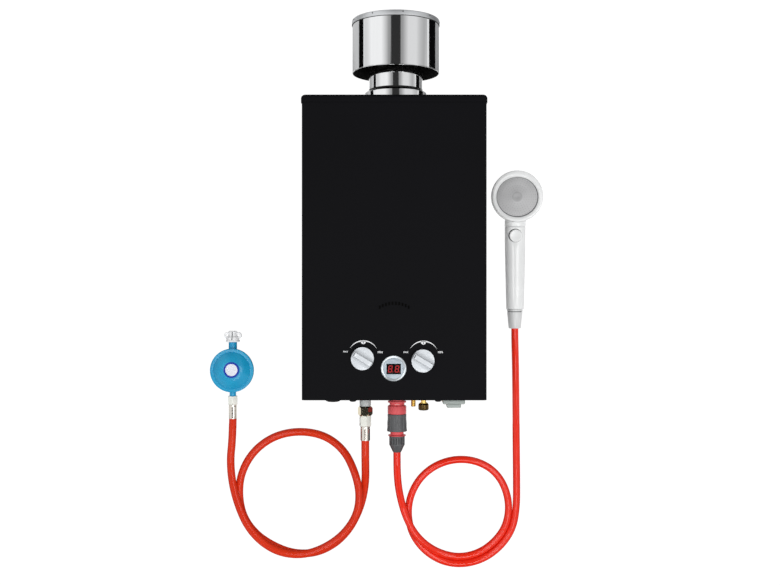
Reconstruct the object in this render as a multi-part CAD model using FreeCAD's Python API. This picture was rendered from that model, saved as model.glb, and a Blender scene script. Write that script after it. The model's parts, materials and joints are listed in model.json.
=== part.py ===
import FreeCAD, Part
import math
import os

# Wall-hung propane water heater, lying on its back with its gas and shower lines laid out beside it.
# Millimetres. +Z points out of the front cover, +Y points to the flue cap, +X to the battery side.
# The origin is the centre of the cabinet's rear face, which rests on the surface at z = 0.

# ---------------------------------------------------------------- driving dimensions
# Fits, as gaps on each side
SLIP = 0.2              # between pieces of one assembly that are slipped together
PLAY = 0.3              # between a moving piece and what it moves beside
SHAFT_FIT = 0.05        # radial running clearance of a shaft in its bore
FLUTE_RADIUS = 1.0      # round grooves of knurled and fluted pieces
FLUTE_LIFT = 0.5        # centre of a groove outside the piece's surface
FLUTE_END = 2.5         # plain band at the ends of the grooves

# Cabinet
BODY_WIDTH = 330.0
BODY_HEIGHT = 545.0
BODY_DEPTH = 155.0
SHEET = 0.8
FRONT_EDGE_RADIUS = 7.0
LIP_HEIGHT = 14.0       # skirt of the top cover
LIP_PROUD = 1.5         # how far the skirt stands out
LIP_CORNER_RADIUS = 7.0
BOTTOM_RECESS = 10.0    # bottom plate above the cabinet's lower edge
FLANGE_DEPTH = 16.0     # side flanges of the back panel
COVER_SCREW_Z = 9.6
WALL_HOLE_RADIUS = 3.5
WALL_HOLE_SPAN_X = 200.0
WALL_HOLE_SPAN_Y = 480.0
COVER_SCREW_RADIUS = 1.9
COVER_SCREW_LENGTH = 6.0
COVER_SCREW_HEAD_RADIUS = 3.5
COVER_SCREW_HEAD_HEIGHT = 1.4
COVER_SCREW_PITCH = 220.0

# Arched flame slots and the mica sheet behind them
ARCH_ABOVE_KNOBS = 101.4    # top of the arch above the heat knob
ARCH_RADIUS = 53.0
ARCH_HALF_ANGLE = 31.0
SLOT_COUNT = 10
SLOT_WIDTH = 3.0
SLOT_HEIGHT = 6.0
MICA_THICKNESS = 1.0
MICA_MARGIN = 5.0

# Flue, from the cabinet's top upward
FLUE_X = 3.0
FLUE_BEHIND_FRONT = 71.0
PIPE_RADIUS = 49.5
FLUE_SHEET = 0.8
COLLAR_BASE_RADIUS = 57.0
COLLAR_HEIGHT = 22.0
COLLAR_BEAD_RADIUS = 1.3
DRUM_RADIUS = 80.0
DRUM_BOTTOM_RISE = 51.0
DRUM_HEIGHT = 96.5
LID_SKIRT = 9.5
LID_EDGE_RADIUS = 2.5
PIPE_BELOW_LID = 43.0
CAP_STRAP_ANGLES = (30, 150, 270)
CAP_STRAP_WIDTH = 15.0
CAP_STRAP_THICKNESS = 1.5
CAP_STRAP_TAB = 9.0
CAP_STRAP_RISE = 18.0       # straps above the drum's mouth

# Heat exchanger, hood, chamber and burner, stacked under the flue
STACK_WIDTH = 200.0
STACK_DEPTH = 98.0
HOT_SHEET = 1.0
HOOD_DROP = 52.5
HOOD_HEIGHT = 70.0
SPIGOT_RISE = 10.0
EXCHANGER_HEIGHT = 64.0
FIN_COUNT = 24
FIN_THICKNESS = 1.6
WATER_TUBE_RADIUS = 7.0
BURNER_HEIGHT = 50.0
BLADE_COUNT = 10
BLADE_THICKNESS = 7.0
BLADE_DROP = 5.0
NOZZLE_LENGTH = 6.0
NOZZLE_RADIUS = 2.2
MANIFOLD_SIZE = 14.0
FEED_LENGTH = 25.0
FEED_RADIUS = 6.0
BRACKET_WIDTH = 30.0
BRACKET_THICKNESS = 1.5
BRACKET_GRIP = 26.0         # overlap of the brackets with the chamber's side
ELECTRODE_PITCH = 26.0
CERAMIC_RADIUS = 3.5
CERAMIC_LENGTH = 20.0
ELECTRODE_TIP_RADIUS = 1.0
ELECTRODE_TIP_LENGTH = 14.0
ELECTRODE_RISE = 12.0

# Knobs and spindles, heights above the cabinet's lower edge
HEAT_KNOB_X = -56.5
HEAT_KNOB_UP = 74.5
HEAT_KNOB_ANGLE = 149.0
FLOW_KNOB_X = 51.0
FLOW_KNOB_UP = 70.5
FLOW_KNOB_ANGLE = 149.0
KNOB_RADIUS = 20.75
KNOB_HEIGHT = 20.0
KNOB_SKIRT = 6.5            # height of the knob's disc beside its grip
KNOB_GRIP_WIDTH = 7.5
KNOB_SCOOP_RADIUS = 7.0
KNOB_BORE_DEPTH = 12.0
KNOB_EDGE_RADIUS = 1.5
SPINDLE_RADIUS = 4.0
SPINDLE_SEAT = 12.0         # depth of the spindle in its valve

# Display
DISPLAY_X = -1.0
DISPLAY_UP = 57.0
BEZEL_RADIUS = 23.0
BEZEL_HEIGHT = 3.5
BEZEL_RIM = 2.2
BEZEL_RIM_STEP = 0.9
BEZEL_NECK_RADIUS = 19.0
BEZEL_NECK_DEPTH = 6.0
WINDOW_WIDTH = 25.6
WINDOW_HEIGHT = 18.5
WINDOW_DROP = 1.0           # window centre below the bezel's centre
WINDOW_RECESS = 1.0
MODULE_WIDTH = 42.0
MODULE_HEIGHT = 30.0
MODULE_DEPTH = 12.0

# Gas and water valves
GAS_VALVE_WIDTH = 48.0
GAS_VALVE_ABOVE = 33.0      # valve body above and below its knob
GAS_VALVE_BELOW = 35.0
WATER_VALVE_LEFT = -21.0    # valve body's sides, from its knob
WATER_VALVE_RIGHT = 35.0
WATER_VALVE_HALF_HEIGHT = 30.0
GAS_VALVE_BACK = 40.0
WATER_VALVE_BACK = 22.0
VALVE_FRONT_DROP = 50.0     # valve fronts behind the cabinet's front
CAPSULE_RADIUS = 34.0
CAPSULE_LENGTH = 16.0
CAPSULE_WALL = 3.0
DIAPHRAGM_THICKNESS = 2.0
DIAPHRAGM_MARGIN = 2.0
ROD_RADIUS = 3.0
ROD_Z = 72.0
ROD_SEAT = 3.0
ROD_STROKE = 4.0
LEVER_ARM = 18.0            # pivot of the microswitch lever above the push rod
LEVER_THICKNESS = 1.0
LEVER_WIDTH = 4.0
LEVER_PIN_RADIUS = 0.8
LEVER_KNUCKLE_RADIUS = 1.8
LEVER_TAIL = 4.0
PEG_GAP = 0.8
PEG_WIDTH = 3.0
SWITCH_EAR = 4.0
SWITCH_EAR_SHEET = 1.6
SWITCH_GAP = 1.5            # between the switch and the lever's knuckle
SWITCH_LENGTH = 16.0
SWITCH_HEIGHT = 14.0
LEVER_FROM_GAS_VALVE = 19.5
IGNITER_SIZE = (36.0, 70.0, 38.0)
IGNITER_FROM_SIDE = 55.0
IGNITER_CORNER_RADIUS = 3.0

# Bottom fittings, depth of their axes above the rear face and drops below the cabinet's lower edge
FITTING_Z = 60.0
GAS_INLET_X = -53.8
GAS_INLET_RADIUS = 10.3
GAS_INLET_DROP = 20.8
GAS_THREAD_RADIUS = 8.0
GAS_THREAD_LENGTH = 11.0
GAS_BORE_RADIUS = 4.5
HEX_FLATS = 27.0            # hexagons of the nipples inside the cabinet
HEX_THICKNESS = 8.0
OUTLET_X = 5.6
OUTLET_DROP = 13.5
INLET_X = 70.0
INLET_Z = 32.0
INLET_DROP = 12.0
NIPPLE_RADIUS = 10.45       # G 1/2 pipe thread
NIPPLE_COLLAR_RADIUS = 11.5
NIPPLE_BORE_RADIUS = 6.0
OUTLET_NIPPLE_RISE = 12.5   # outlet nipple above the bottom plate
RISER_RADIUS = 6.5
RISER_KNEE = 46.0           # height of a riser's straight foot
COLD_RISER_X = 62.0
RELIEF_X = 55.3
RELIEF_STEM_RADIUS = 3.5
RELIEF_DROP = 28.5
RELIEF_CAP_RADIUS = 9.75
RELIEF_CAP_LENGTH = 13.5
RELIEF_CAP_NOTCHES = 12
DRAIN_X = 36.2
DRAIN_RADIUS = 4.0
DRAIN_DROP = 21.4
GROMMET_SPOTS = ((-112.0, 17.5), (-75.5, 7.0), (80.8, 6.5))
GROMMET_Z = 98.0
GROMMET_DROP = 8.5
GROMMET_NECK = 0.8          # neck radius as a share of the plug's radius

# Battery box and its drawer
BATTERY_BOX_GAP = 3.0       # between the box and the water valve
BATTERY_Z = 70.0
CELL_DIAMETER = 33.2
CELL_LENGTH = 60.5
CELL_GAP = 0.8
TRAY_WALL = 1.2
BOX_WALL = 1.5
BATTERY_BOX_DROP = 3.8      # box below the cabinet's lower edge
DRAWER_FRONT = 8.5
DRAWER_CORNER_RADIUS = 3.0
DRAWER_GRIP_WIDTH = 26.0
DRAWER_GRIP_HEIGHT = 30.0
DRAWER_GRIP_PROUD = 6.2

# Gas hose's union nut, tails and ferrules
UNION_FLATS = 24.0
UNION_LENGTH = 17.0
UNION_LIP = 2.4
TAIL_STEM_RADIUS = 6.2
TAIL_FLATS = 18.5
TAIL_LENGTH = 20.0
FERRULE_RADIUS = 8.0
FERRULE_LENGTH = 26.8
GAS_HOSE_RADIUS = 7.0

# Regulator, lying flat
REGULATOR_X = -308.3
REGULATOR_Y = -228.9
REGULATOR_AXIS_Z = 18.0     # axis of its two necks
REGULATOR_RIM_RADIUS = 41.5
REGULATOR_BASE_RADIUS = 24.0
REGULATOR_FOOT_HEIGHT = 4.0
REGULATOR_BOWL_RADIUS = 35.0
REGULATOR_BOWL_HEIGHT = 26.0
REGULATOR_RIM_HEIGHT = 3.4
REGULATOR_DOME_RADIUS = 33.0
REGULATOR_DOME_HEIGHT = 11.0
REGULATOR_BADGE_RADIUS = 14.5
REGULATOR_WALL = 2.0
INLET_NECK_RADIUS = 7.85
INLET_NECK_END = 53.5       # neck ends, from the regulator's centre
OUTLET_NECK_RADIUS = 6.25
OUTLET_NECK_END = 49.5
OUTLET_HEX_FLATS = 17.0
OUTLET_HEX_LENGTH = 16.6
OUTLET_FERRULE_RADIUS = 7.25
OUTLET_FERRULE_LENGTH = 27.3
MEMBRANE_RADIUS = 30.0
MEMBRANE_THICKNESS = 1.6
MEMBRANE_TRAVEL = 1.0
SPRING_WIRE_RADIUS = 0.7
SPRING_RADIUS = 8.0
SPRING_TURNS = 4

# Cylinder nut with its two wing loops
CYLINDER_SPIGOT_RADIUS = 5.0
CYLINDER_SPIGOT_LENGTH = 6.0
CYLINDER_NUT_LENGTH = 21.0
CYLINDER_BARREL_RADIUS = 8.0
CYLINDER_FLANGE_RADIUS = 13.5
CYLINDER_FLANGE_LENGTH = 4.0
CYLINDER_THREAD_RADIUS = 5.9
CYLINDER_THREAD_LENGTH = 12.0
WING_REACH = 16.7
WING_RADIUS = 6.0
WING_HOLE_RADIUS = 2.6
WING_THICKNESS = 4.0
WING_DROP = 8.5

# Quick connector
ADAPTOR_NECK_RADIUS = 14.0
ADAPTOR_SHOULDER_RADIUS = 17.5
ADAPTOR_SHOULDER_DROP = 19.3
ADAPTOR_SHOULDER_LENGTH = 15.7
ADAPTOR_BEVEL = 2.5
ADAPTOR_SLOT = (8.0, 3.0, 1.2)
ADAPTOR_NOSE_RADIUS = 8.2
ADAPTOR_NOSE_LENGTH = 24.5
ADAPTOR_BORE_RADIUS = 4.0
SLEEVE_LENGTH = 32.2
SLEEVE_RADIUS = 18.0
SLEEVE_WAIST_RADIUS = 17.2
SLEEVE_FLUTES = 14
CORE_RADIUS = 16.0
CORE_ABOVE = 27.0           # core inside the sleeve
CORE_BAND = 5.8             # bare band that the sleeve slides over
CORE_FLANGE_RADIUS = 17.0
CORE_FLANGE_LENGTH = 2.8
CORE_SPIGOT_RADIUS = 11.0
CORE_SPIGOT_LENGTH = 12.0
HOSE_NUT_RADIUS = 14.5
HOSE_NUT_LENGTH = 17.0
HOSE_NUT_RIBS = 18
HOSE_NUT_CONE = 13.3
HOSE_NUT_TIP_RADIUS = 7.7
SHOWER_HOSE_RADIUS = 6.5
HOSE_HOLE_GAP = 0.4

# Handset, lying on its back
HANDLE_X = 231.6
HEAD_X = 234.0
HEAD_Y = 102.0
HEAD_RADIUS = 48.8
HEAD_BACK_RADIUS = 22.0
HEAD_SIDE_Z = 24.0
HEAD_RIM_Z = 31.0
RING_HEIGHT = 9.0
RING_WIDTH = 7.8
PLATE_THICKNESS = 3.0
PLATE_RECESS = 2.0
PLATE_BOSS_RADIUS = 9.0
PLATE_BOSS_HEIGHT = 1.2
HANDLE_Z = 15.5
HANDLE_TOP_Y = 45.0
HANDLE_BOTTOM_Y = -112.3
HANDLE_SECTIONS = ((0.0, 16.5, 14.0), (0.34, 17.7, 14.2), (0.72, 19.2, 14.5), (1.0, 19.3, 14.5))
NECK_TOP_Y = 70.0
NECK_TOP_HALF_WIDTH = 27.0
NECK_TOP_HALF_DEPTH = 13.0
NECK_TOP_Z = 18.0
BUTTON_Y = 27.5
BUTTON_RADIUS = 12.0
BUTTON_TRAVEL = 2.5
BUTTON_SPRING_ROOM = 4.5     # left under the pressed button
BUTTON_PROUD = 3.2
BUTTON_DEPTH = 6.0
BUTTON_SPRING_RADIUS = 5.0
BUTTON_SPRING_TURNS = 3
BUTTON_EDGE_RADIUS = 1.5
CONE_NUT_TOP_RADIUS = 14.9
CONE_NUT_TIP_RADIUS = 11.75
CONE_NUT_LENGTH = 36.6
CONE_NUT_BAND = 4.0
CONE_SPIGOT_RADIUS = 10.3
CONE_SPIGOT_LENGTH = 12.0

# ---------------------------------------------------------------- places worked out from them
half_width = BODY_WIDTH / 2
top_y = BODY_HEIGHT / 2
bottom_y = -top_y
inner_half_width = half_width - SHEET
plate_y = bottom_y + BOTTOM_RECESS
plate_top_y = plate_y + SHEET
valve_front_z = BODY_DEPTH - VALVE_FRONT_DROP
heat_knob_y = bottom_y + HEAT_KNOB_UP
flow_knob_y = bottom_y + FLOW_KNOB_UP
display_y = bottom_y + DISPLAY_UP
water_valve_bottom_y = flow_knob_y - WATER_VALVE_HALF_HEIGHT
water_valve_top_y = flow_knob_y + WATER_VALVE_HALF_HEIGHT
gas_valve_bottom_y = heat_knob_y - GAS_VALVE_BELOW
gas_valve_top_y = heat_knob_y + GAS_VALVE_ABOVE
gas_valve_right_x = HEAT_KNOB_X + GAS_VALVE_WIDTH / 2
water_valve_left_x = FLOW_KNOB_X + WATER_VALVE_LEFT
capsule_left_x = water_valve_left_x - CAPSULE_LENGTH
manifold_y = gas_valve_top_y + FEED_LENGTH
burner_y = manifold_y + MANIFOLD_SIZE + NOZZLE_LENGTH
chamber_y = burner_y + BURNER_HEIGHT
hood_top_y = top_y - HOOD_DROP
hood_y = hood_top_y - HOOD_HEIGHT
exchanger_y = hood_y - EXCHANGER_HEIGHT
flue_z = BODY_DEPTH - FLUE_BEHIND_FRONT
stack_left = FLUE_X - STACK_WIDTH / 2
stack_right = FLUE_X + STACK_WIDTH / 2
stack_back = flue_z - STACK_DEPTH / 2
stack_front = flue_z + STACK_DEPTH / 2
spigot_radius = PIPE_RADIUS - FLUE_SHEET - SLIP
riser_z = (stack_back + SHEET) / 2
drum_y = top_y + DRUM_BOTTOM_RISE
lid_top_y = drum_y + DRUM_HEIGHT + FLUE_SHEET + SLIP
arch_centre_y = heat_knob_y + ARCH_ABOVE_KNOBS - ARCH_RADIUS
pivot_x = gas_valve_right_x + LEVER_FROM_GAS_VALVE
pivot_y = flow_knob_y + LEVER_ARM
igniter_x = IGNITER_FROM_SIDE - half_width
battery_x = (FLOW_KNOB_X + WATER_VALVE_RIGHT + BATTERY_BOX_GAP + BOX_WALL + PLAY + TRAY_WALL
             + CELL_GAP + CELL_DIAMETER / 2)


# ---------------------------------------------------------------- solids
def box(x, y, z):
    """Block between the low and high value of each axis."""
    return Part.makeBox(x[1] - x[0], y[1] - y[0], z[1] - z[0], FreeCAD.Vector(x[0], y[0], z[0]))


def rod_x(y, z, x0, x1, radius):
    return Part.makeCylinder(radius, x1 - x0, FreeCAD.Vector(x0, y, z), FreeCAD.Vector(1, 0, 0))


def rod_y(x, z, y0, y1, radius):
    return Part.makeCylinder(radius, y1 - y0, FreeCAD.Vector(x, y0, z), FreeCAD.Vector(0, 1, 0))


def rod_z(x, y, z0, z1, radius):
    return Part.makeCylinder(radius, z1 - z0, FreeCAD.Vector(x, y, z0), FreeCAD.Vector(0, 0, 1))


def turned(points, axis_point, axis):
    """Solid turned about an axis from a closed outline of points."""
    face = Part.Face(Part.makePolygon(points + [points[0]]))
    return face.revolve(axis_point, axis, 360)


def turned_y(x, z, outline):
    """Solid turned about a line along Y, from (y, radius) pairs."""
    points = [FreeCAD.Vector(x + radius, y, z) for y, radius in outline]
    return turned(points, FreeCAD.Vector(x, 0, z), FreeCAD.Vector(0, 1, 0))


def turned_z(x, y, outline):
    """Solid turned about a line along Z, from (radius, z) pairs."""
    points = [FreeCAD.Vector(x + radius, y, z) for radius, z in outline]
    return turned(points, FreeCAD.Vector(x, y, 0), FreeCAD.Vector(0, 0, 1))


def hex_y(x, z, y0, y1, flats):
    """Hexagonal bar along Y with two flats facing front and rear."""
    corner = flats / math.sqrt(3)
    angles = [math.radians(60 * step) for step in range(7)]
    points = [FreeCAD.Vector(x + corner * math.cos(a), y0, z + corner * math.sin(a)) for a in angles]
    return Part.Face(Part.makePolygon(points)).extrude(FreeCAD.Vector(0, y1 - y0, 0))


def flutes(x, z, y0, y1, ring_radius, count):
    """Round cutters along Y, set in a ring around an axis."""
    angles = [2 * math.pi * (index + 0.5) / count for index in range(count)]
    return [rod_y(x + ring_radius * math.cos(a), z + ring_radius * math.sin(a), y0, y1, FLUTE_RADIUS)
            for a in angles]


def cut(shape, *tools):
    return shape.cut(list(tools))


def fuse(shape, *others):
    return shape.fuse(list(others)).removeSplitter()


def fillet_along(shape, direction, radius, test):
    """Round the edges that run along a direction and whose midpoint passes the test."""
    chosen = []
    for edge in shape.Edges:
        ends = [vertex.Point for vertex in edge.Vertexes]
        if len(ends) == 2 and (ends[1] - ends[0]).cross(direction).Length < 1e-6:
            if test((ends[0] + ends[1]) * 0.5):
                chosen.append(edge)
    return shape.makeFillet(radius, chosen)


def export(name, *shapes):
    """Write one node, with each solid checked."""
    solids = [solid for shape in shapes for solid in shape.Solids]
    for solid in solids:
        if not solid.isValid() or solid.Volume <= 0:
            print("BAD SOLID in", name)
    shape = solids[0] if len(solids) == 1 else Part.makeCompound(solids)
    shape.exportStep(os.path.join("parts", name + ".step"))
    written.append(name)


# ---------------------------------------------------------------- pipes and hoses
def rounded_path(points, bend_radii):
    """Straight runs joined by tangent arcs, one radius for each inner point."""
    edges = []
    start = points[0]
    for before, corner, after, radius in zip(points, points[1:], points[2:], bend_radii):
        back = (before - corner).normalize()
        ahead = (after - corner).normalize()
        half_turn = (math.pi - back.getAngle(ahead)) / 2
        reach = radius * math.tan(half_turn)
        entry = corner + back * reach
        leave = corner + ahead * reach
        bisector = (back + ahead).normalize()
        centre = corner + bisector * (radius / math.cos(half_turn))
        edges.append(Part.LineSegment(start, entry).toShape())
        edges.append(Part.Arc(entry, centre - bisector * radius, leave).toShape())
        start = leave
    edges.append(Part.LineSegment(start, points[-1]).toShape())
    return Part.Wire(edges)


def swept(path, radius):
    """Round bar swept along a path that starts with a straight run."""
    first = path.Edges[0]
    direction = first.tangentAt(first.FirstParameter)
    ring = Part.Wire(Part.makeCircle(radius, path.Vertexes[0].Point, direction))
    return path.makePipeShell([ring], True, False)


def hose(name, route, radius):
    """Hose through a hand-chosen route: each bend is as wide as its two runs allow."""
    points = [FreeCAD.Vector(*point) for point in route]
    runs = [(b - a).Length for a, b in zip(points, points[1:])]
    radii = []
    for index in range(1, len(points) - 1):
        turn = (points[index] - points[index - 1]).getAngle(points[index + 1] - points[index])
        radii.append(0.45 * min(runs[index - 1], runs[index]) / math.tan(turn / 2))
    path = rounded_path(points, radii)
    tube = swept(path, radius)
    expected = math.pi * radius ** 2 * path.Length
    print(f"{name}: length {path.Length:.0f}, tightest bend {min(radii):.1f}, "
          f"volume over plain bar {tube.Volume / expected:.5f}")
    return tube


def coil_spring(x, y, z0, z1, radius, wire_radius, turns):
    """Compression spring along Z with both ends inside the given heights."""
    helix = Part.makeHelix((z1 - z0 - 2 * wire_radius) / turns, z1 - z0 - 2 * wire_radius, radius)
    helix.translate(FreeCAD.Vector(x, y, z0 + wire_radius))
    start = FreeCAD.Vector(x + radius, y, z0 + wire_radius)
    ring = Part.Wire(Part.makeCircle(wire_radius, start, FreeCAD.Vector(0, 1, 0)))
    return Part.Wire(helix.Edges).makePipeShell([ring], True, True)


# ---------------------------------------------------------------- cabinet
def back_panel():
    plate = box((-half_width, half_width), (bottom_y, top_y - SHEET - SLIP), (0, SHEET))
    plate = fillet_along(plate, FreeCAD.Vector(0, 0, 1), LIP_CORNER_RADIUS, lambda p: p.y > 0)
    flange_y = (plate_top_y + SLIP, top_y - LIP_HEIGHT)
    pieces = []
    for side in (-1, 1):
        outer = side * (inner_half_width - SLIP)
        flange_x = sorted((outer, outer - side * SHEET))
        pieces.append(box(flange_x, flange_y, (0, FLANGE_DEPTH)))
        grip_x = stack_left - SLIP if side < 0 else stack_right + SLIP
        bracket_x = sorted((grip_x, grip_x + side * BRACKET_THICKNESS))
        for low in (chamber_y + BRACKET_WIDTH / 2, exchanger_y - BRACKET_WIDTH * 1.5):
            pieces.append(box(bracket_x, (low, low + BRACKET_WIDTH), (0, stack_back + BRACKET_GRIP)))
    panel = fuse(plate, *pieces)
    holes = [rod_z(sx * WALL_HOLE_SPAN_X / 2, sy * WALL_HOLE_SPAN_Y / 2, -1, SHEET + 1, WALL_HOLE_RADIUS)
             for sx in (-1, 1) for sy in (-1, 1)]
    screws = [rod_x(y, COVER_SCREW_Z, -half_width, half_width, COVER_SCREW_RADIUS + SLIP / 2)
              for y in screw_rows()]
    return cut(panel, *holes, *screws)


def screw_rows():
    return (-COVER_SCREW_PITCH, 0.0, COVER_SCREW_PITCH)


def flame_slots(depth_low, depth_high):
    """Upright slots along the arch, centred over the cabinet."""
    slots = []
    middle_radius = ARCH_RADIUS - SLOT_HEIGHT / 2
    for index in range(SLOT_COUNT):
        angle = math.radians(ARCH_HALF_ANGLE * (2 * index / (SLOT_COUNT - 1) - 1))
        x = middle_radius * math.sin(angle)
        y = arch_centre_y + middle_radius * math.cos(angle)
        slots.append(box((x - SLOT_WIDTH / 2, x + SLOT_WIDTH / 2),
                         (y - SLOT_HEIGHT / 2, y + SLOT_HEIGHT / 2), (depth_low, depth_high)))
    return slots


def front_cover():
    cover_top = top_y - LIP_CORNER_RADIUS - SHEET
    along_y = FreeCAD.Vector(0, 1, 0)
    outer = box((-half_width, half_width), (bottom_y, cover_top), (SHEET, BODY_DEPTH))
    outer = fillet_along(outer, along_y, FRONT_EDGE_RADIUS, lambda p: p.z > BODY_DEPTH / 2)
    inner = box((-inner_half_width, inner_half_width), (bottom_y - 1, cover_top + 1),
                (0, BODY_DEPTH - SHEET))
    inner = fillet_along(inner, along_y, FRONT_EDGE_RADIUS - SHEET, lambda p: p.z > BODY_DEPTH / 2)
    back, front = BODY_DEPTH - 2 * SHEET, BODY_DEPTH + 1
    holes = [rod_z(HEAT_KNOB_X, heat_knob_y, back, front, SPINDLE_RADIUS + 1),
             rod_z(FLOW_KNOB_X, flow_knob_y, back, front, SPINDLE_RADIUS + 1),
             rod_z(DISPLAY_X, display_y, back, front, BEZEL_NECK_RADIUS + SLIP)]
    screws = [rod_x(y, COVER_SCREW_Z, -half_width - 1, half_width + 1, COVER_SCREW_RADIUS + SLIP)
              for y in screw_rows()]
    return cut(outer, inner, *holes, *screws, *flame_slots(back, front))


def top_cover():
    along_y, along_z = FreeCAD.Vector(0, 1, 0), FreeCAD.Vector(0, 0, 1)
    reach = half_width + LIP_PROUD
    front = BODY_DEPTH + LIP_PROUD
    outer = box((-reach, reach), (top_y - LIP_HEIGHT, top_y), (0, front))
    outer = fillet_along(outer, along_y, FRONT_EDGE_RADIUS + LIP_PROUD, lambda p: p.z > front / 2)
    outer = fillet_along(outer, along_z, LIP_CORNER_RADIUS, lambda p: p.y > top_y - 1)
    wall = SHEET
    inner = box((-reach + wall, reach - wall), (top_y - LIP_HEIGHT - 1, top_y - wall), (-1, front - wall))
    inner = fillet_along(inner, along_y, FRONT_EDGE_RADIUS + LIP_PROUD - wall, lambda p: p.z > front / 2)
    inner = fillet_along(inner, along_z, LIP_CORNER_RADIUS - wall, lambda p: p.y > top_y - wall - 1)
    flue_hole = rod_y(FLUE_X, flue_z, top_y - LIP_HEIGHT, top_y + 1, spigot_radius + SLIP)
    return cut(outer, inner, flue_hole)


def bottom_plate():
    reach = inner_half_width - SLIP
    plate = box((-reach, reach), (plate_y, plate_top_y), (SHEET, BODY_DEPTH - SHEET - SLIP))
    plate = fillet_along(plate, FreeCAD.Vector(0, 1, 0), FRONT_EDGE_RADIUS, lambda p: p.z > BODY_DEPTH / 2)
    low, high = plate_y - 1, plate_top_y + 1
    box_x, box_z = battery_box_span()
    holes = [rod_y(GAS_INLET_X, FITTING_Z, low, high, GAS_INLET_RADIUS + SLIP),
             rod_y(OUTLET_X, FITTING_Z, low, high, NIPPLE_COLLAR_RADIUS + SLIP),
             rod_y(INLET_X, INLET_Z, low, high, NIPPLE_COLLAR_RADIUS + SLIP),
             rod_y(RELIEF_X, FITTING_Z, low, high, RELIEF_STEM_RADIUS + SLIP),
             rod_y(DRAIN_X, FITTING_Z, low, high, DRAIN_RADIUS + SLIP),
             box((box_x[0] - SLIP, box_x[1] + SLIP), (low, high), (box_z[0] - SLIP, box_z[1] + SLIP))]
    plugs = [rod_y(x, GROMMET_Z, low, high, radius * GROMMET_NECK + SLIP)
             for x, radius in GROMMET_SPOTS]
    return cut(plate, *holes, *plugs)


def view_window():
    end_angle = math.radians(ARCH_HALF_ANGLE)
    half = ARCH_RADIUS * math.sin(end_angle) + MICA_MARGIN
    low = arch_centre_y + ARCH_RADIUS * math.cos(end_angle) - SLOT_HEIGHT - MICA_MARGIN
    high = arch_centre_y + ARCH_RADIUS + MICA_MARGIN
    front = BODY_DEPTH - SHEET
    return box((-half, half), (low, high), (front - MICA_THICKNESS, front))


def cover_screws():
    screws = []
    for y in screw_rows():
        for side in (-1, 1):
            head_x = sorted((side * half_width, side * (half_width + COVER_SCREW_HEAD_HEIGHT)))
            shank_x = sorted((side * half_width, side * (half_width - COVER_SCREW_LENGTH)))
            screws.append(fuse(rod_x(y, COVER_SCREW_Z, *head_x, COVER_SCREW_HEAD_RADIUS),
                               rod_x(y, COVER_SCREW_Z, *shank_x, COVER_SCREW_RADIUS)))
    return screws


def rubber_grommets():
    plugs = []
    for x, radius in GROMMET_SPOTS:
        low = bottom_y - GROMMET_DROP
        rounding = radius * 0.6
        dome = turned_y(x, GROMMET_Z, ((plate_y, 0), (plate_y, radius), (low + rounding, radius),
                                       (low + rounding * 0.3, radius - rounding * 0.35),
                                       (low, radius - rounding), (low, 0)))
        neck = rod_y(x, GROMMET_Z, plate_y, plate_top_y + 2 * SHEET, radius * GROMMET_NECK)
        plugs.append(fuse(dome, neck))
    return plugs


# ---------------------------------------------------------------- flue and rain cap
def ring_y(y0, y1, outer, inner):
    """Sleeve around the flue's axis."""
    return cut(rod_y(FLUE_X, flue_z, y0, y1, outer), rod_y(FLUE_X, flue_z, y0 - 1, y1 + 1, inner))


def flue_collar():
    wall = FLUE_SHEET
    inner_top = PIPE_RADIUS + SLIP
    top = top_y + COLLAR_HEIGHT
    bead = COLLAR_BEAD_RADIUS
    outline = ((top_y, COLLAR_BASE_RADIUS - wall), (top_y, COLLAR_BASE_RADIUS + 2 * wall),
               (top_y + wall, COLLAR_BASE_RADIUS + 2 * wall), (top_y + wall, COLLAR_BASE_RADIUS),
               (top_y + COLLAR_HEIGHT * 0.45, inner_top + 3 * wall), (top - 3 * bead, inner_top + wall),
               (top - 2 * bead, inner_top + wall + bead), (top - bead, inner_top + wall + bead),
               (top, inner_top + wall), (top, inner_top), (top - 3 * bead, inner_top),
               (top_y + COLLAR_HEIGHT * 0.45, inner_top + 2 * wall))
    return turned_y(FLUE_X, flue_z, outline)


def exhaust_pipe():
    return ring_y(top_y, lid_top_y - PIPE_BELOW_LID, PIPE_RADIUS, PIPE_RADIUS - FLUE_SHEET)


def rain_cap_drum():
    return ring_y(drum_y, drum_y + DRUM_HEIGHT, DRUM_RADIUS, DRUM_RADIUS - FLUE_SHEET)


def rain_cap_lid():
    outer = DRUM_RADIUS + SLIP + FLUE_SHEET
    low = lid_top_y - LID_SKIRT
    edge = LID_EDGE_RADIUS
    shell = turned_y(FLUE_X, flue_z, ((low, 0), (low, outer), (lid_top_y - edge, outer),
                                      (lid_top_y - edge * 0.3, outer - edge * 0.3),
                                      (lid_top_y, outer - edge), (lid_top_y, 0)))
    return cut(shell, rod_y(FLUE_X, flue_z, low - 1, lid_top_y - FLUE_SHEET, DRUM_RADIUS + SLIP))


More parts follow.
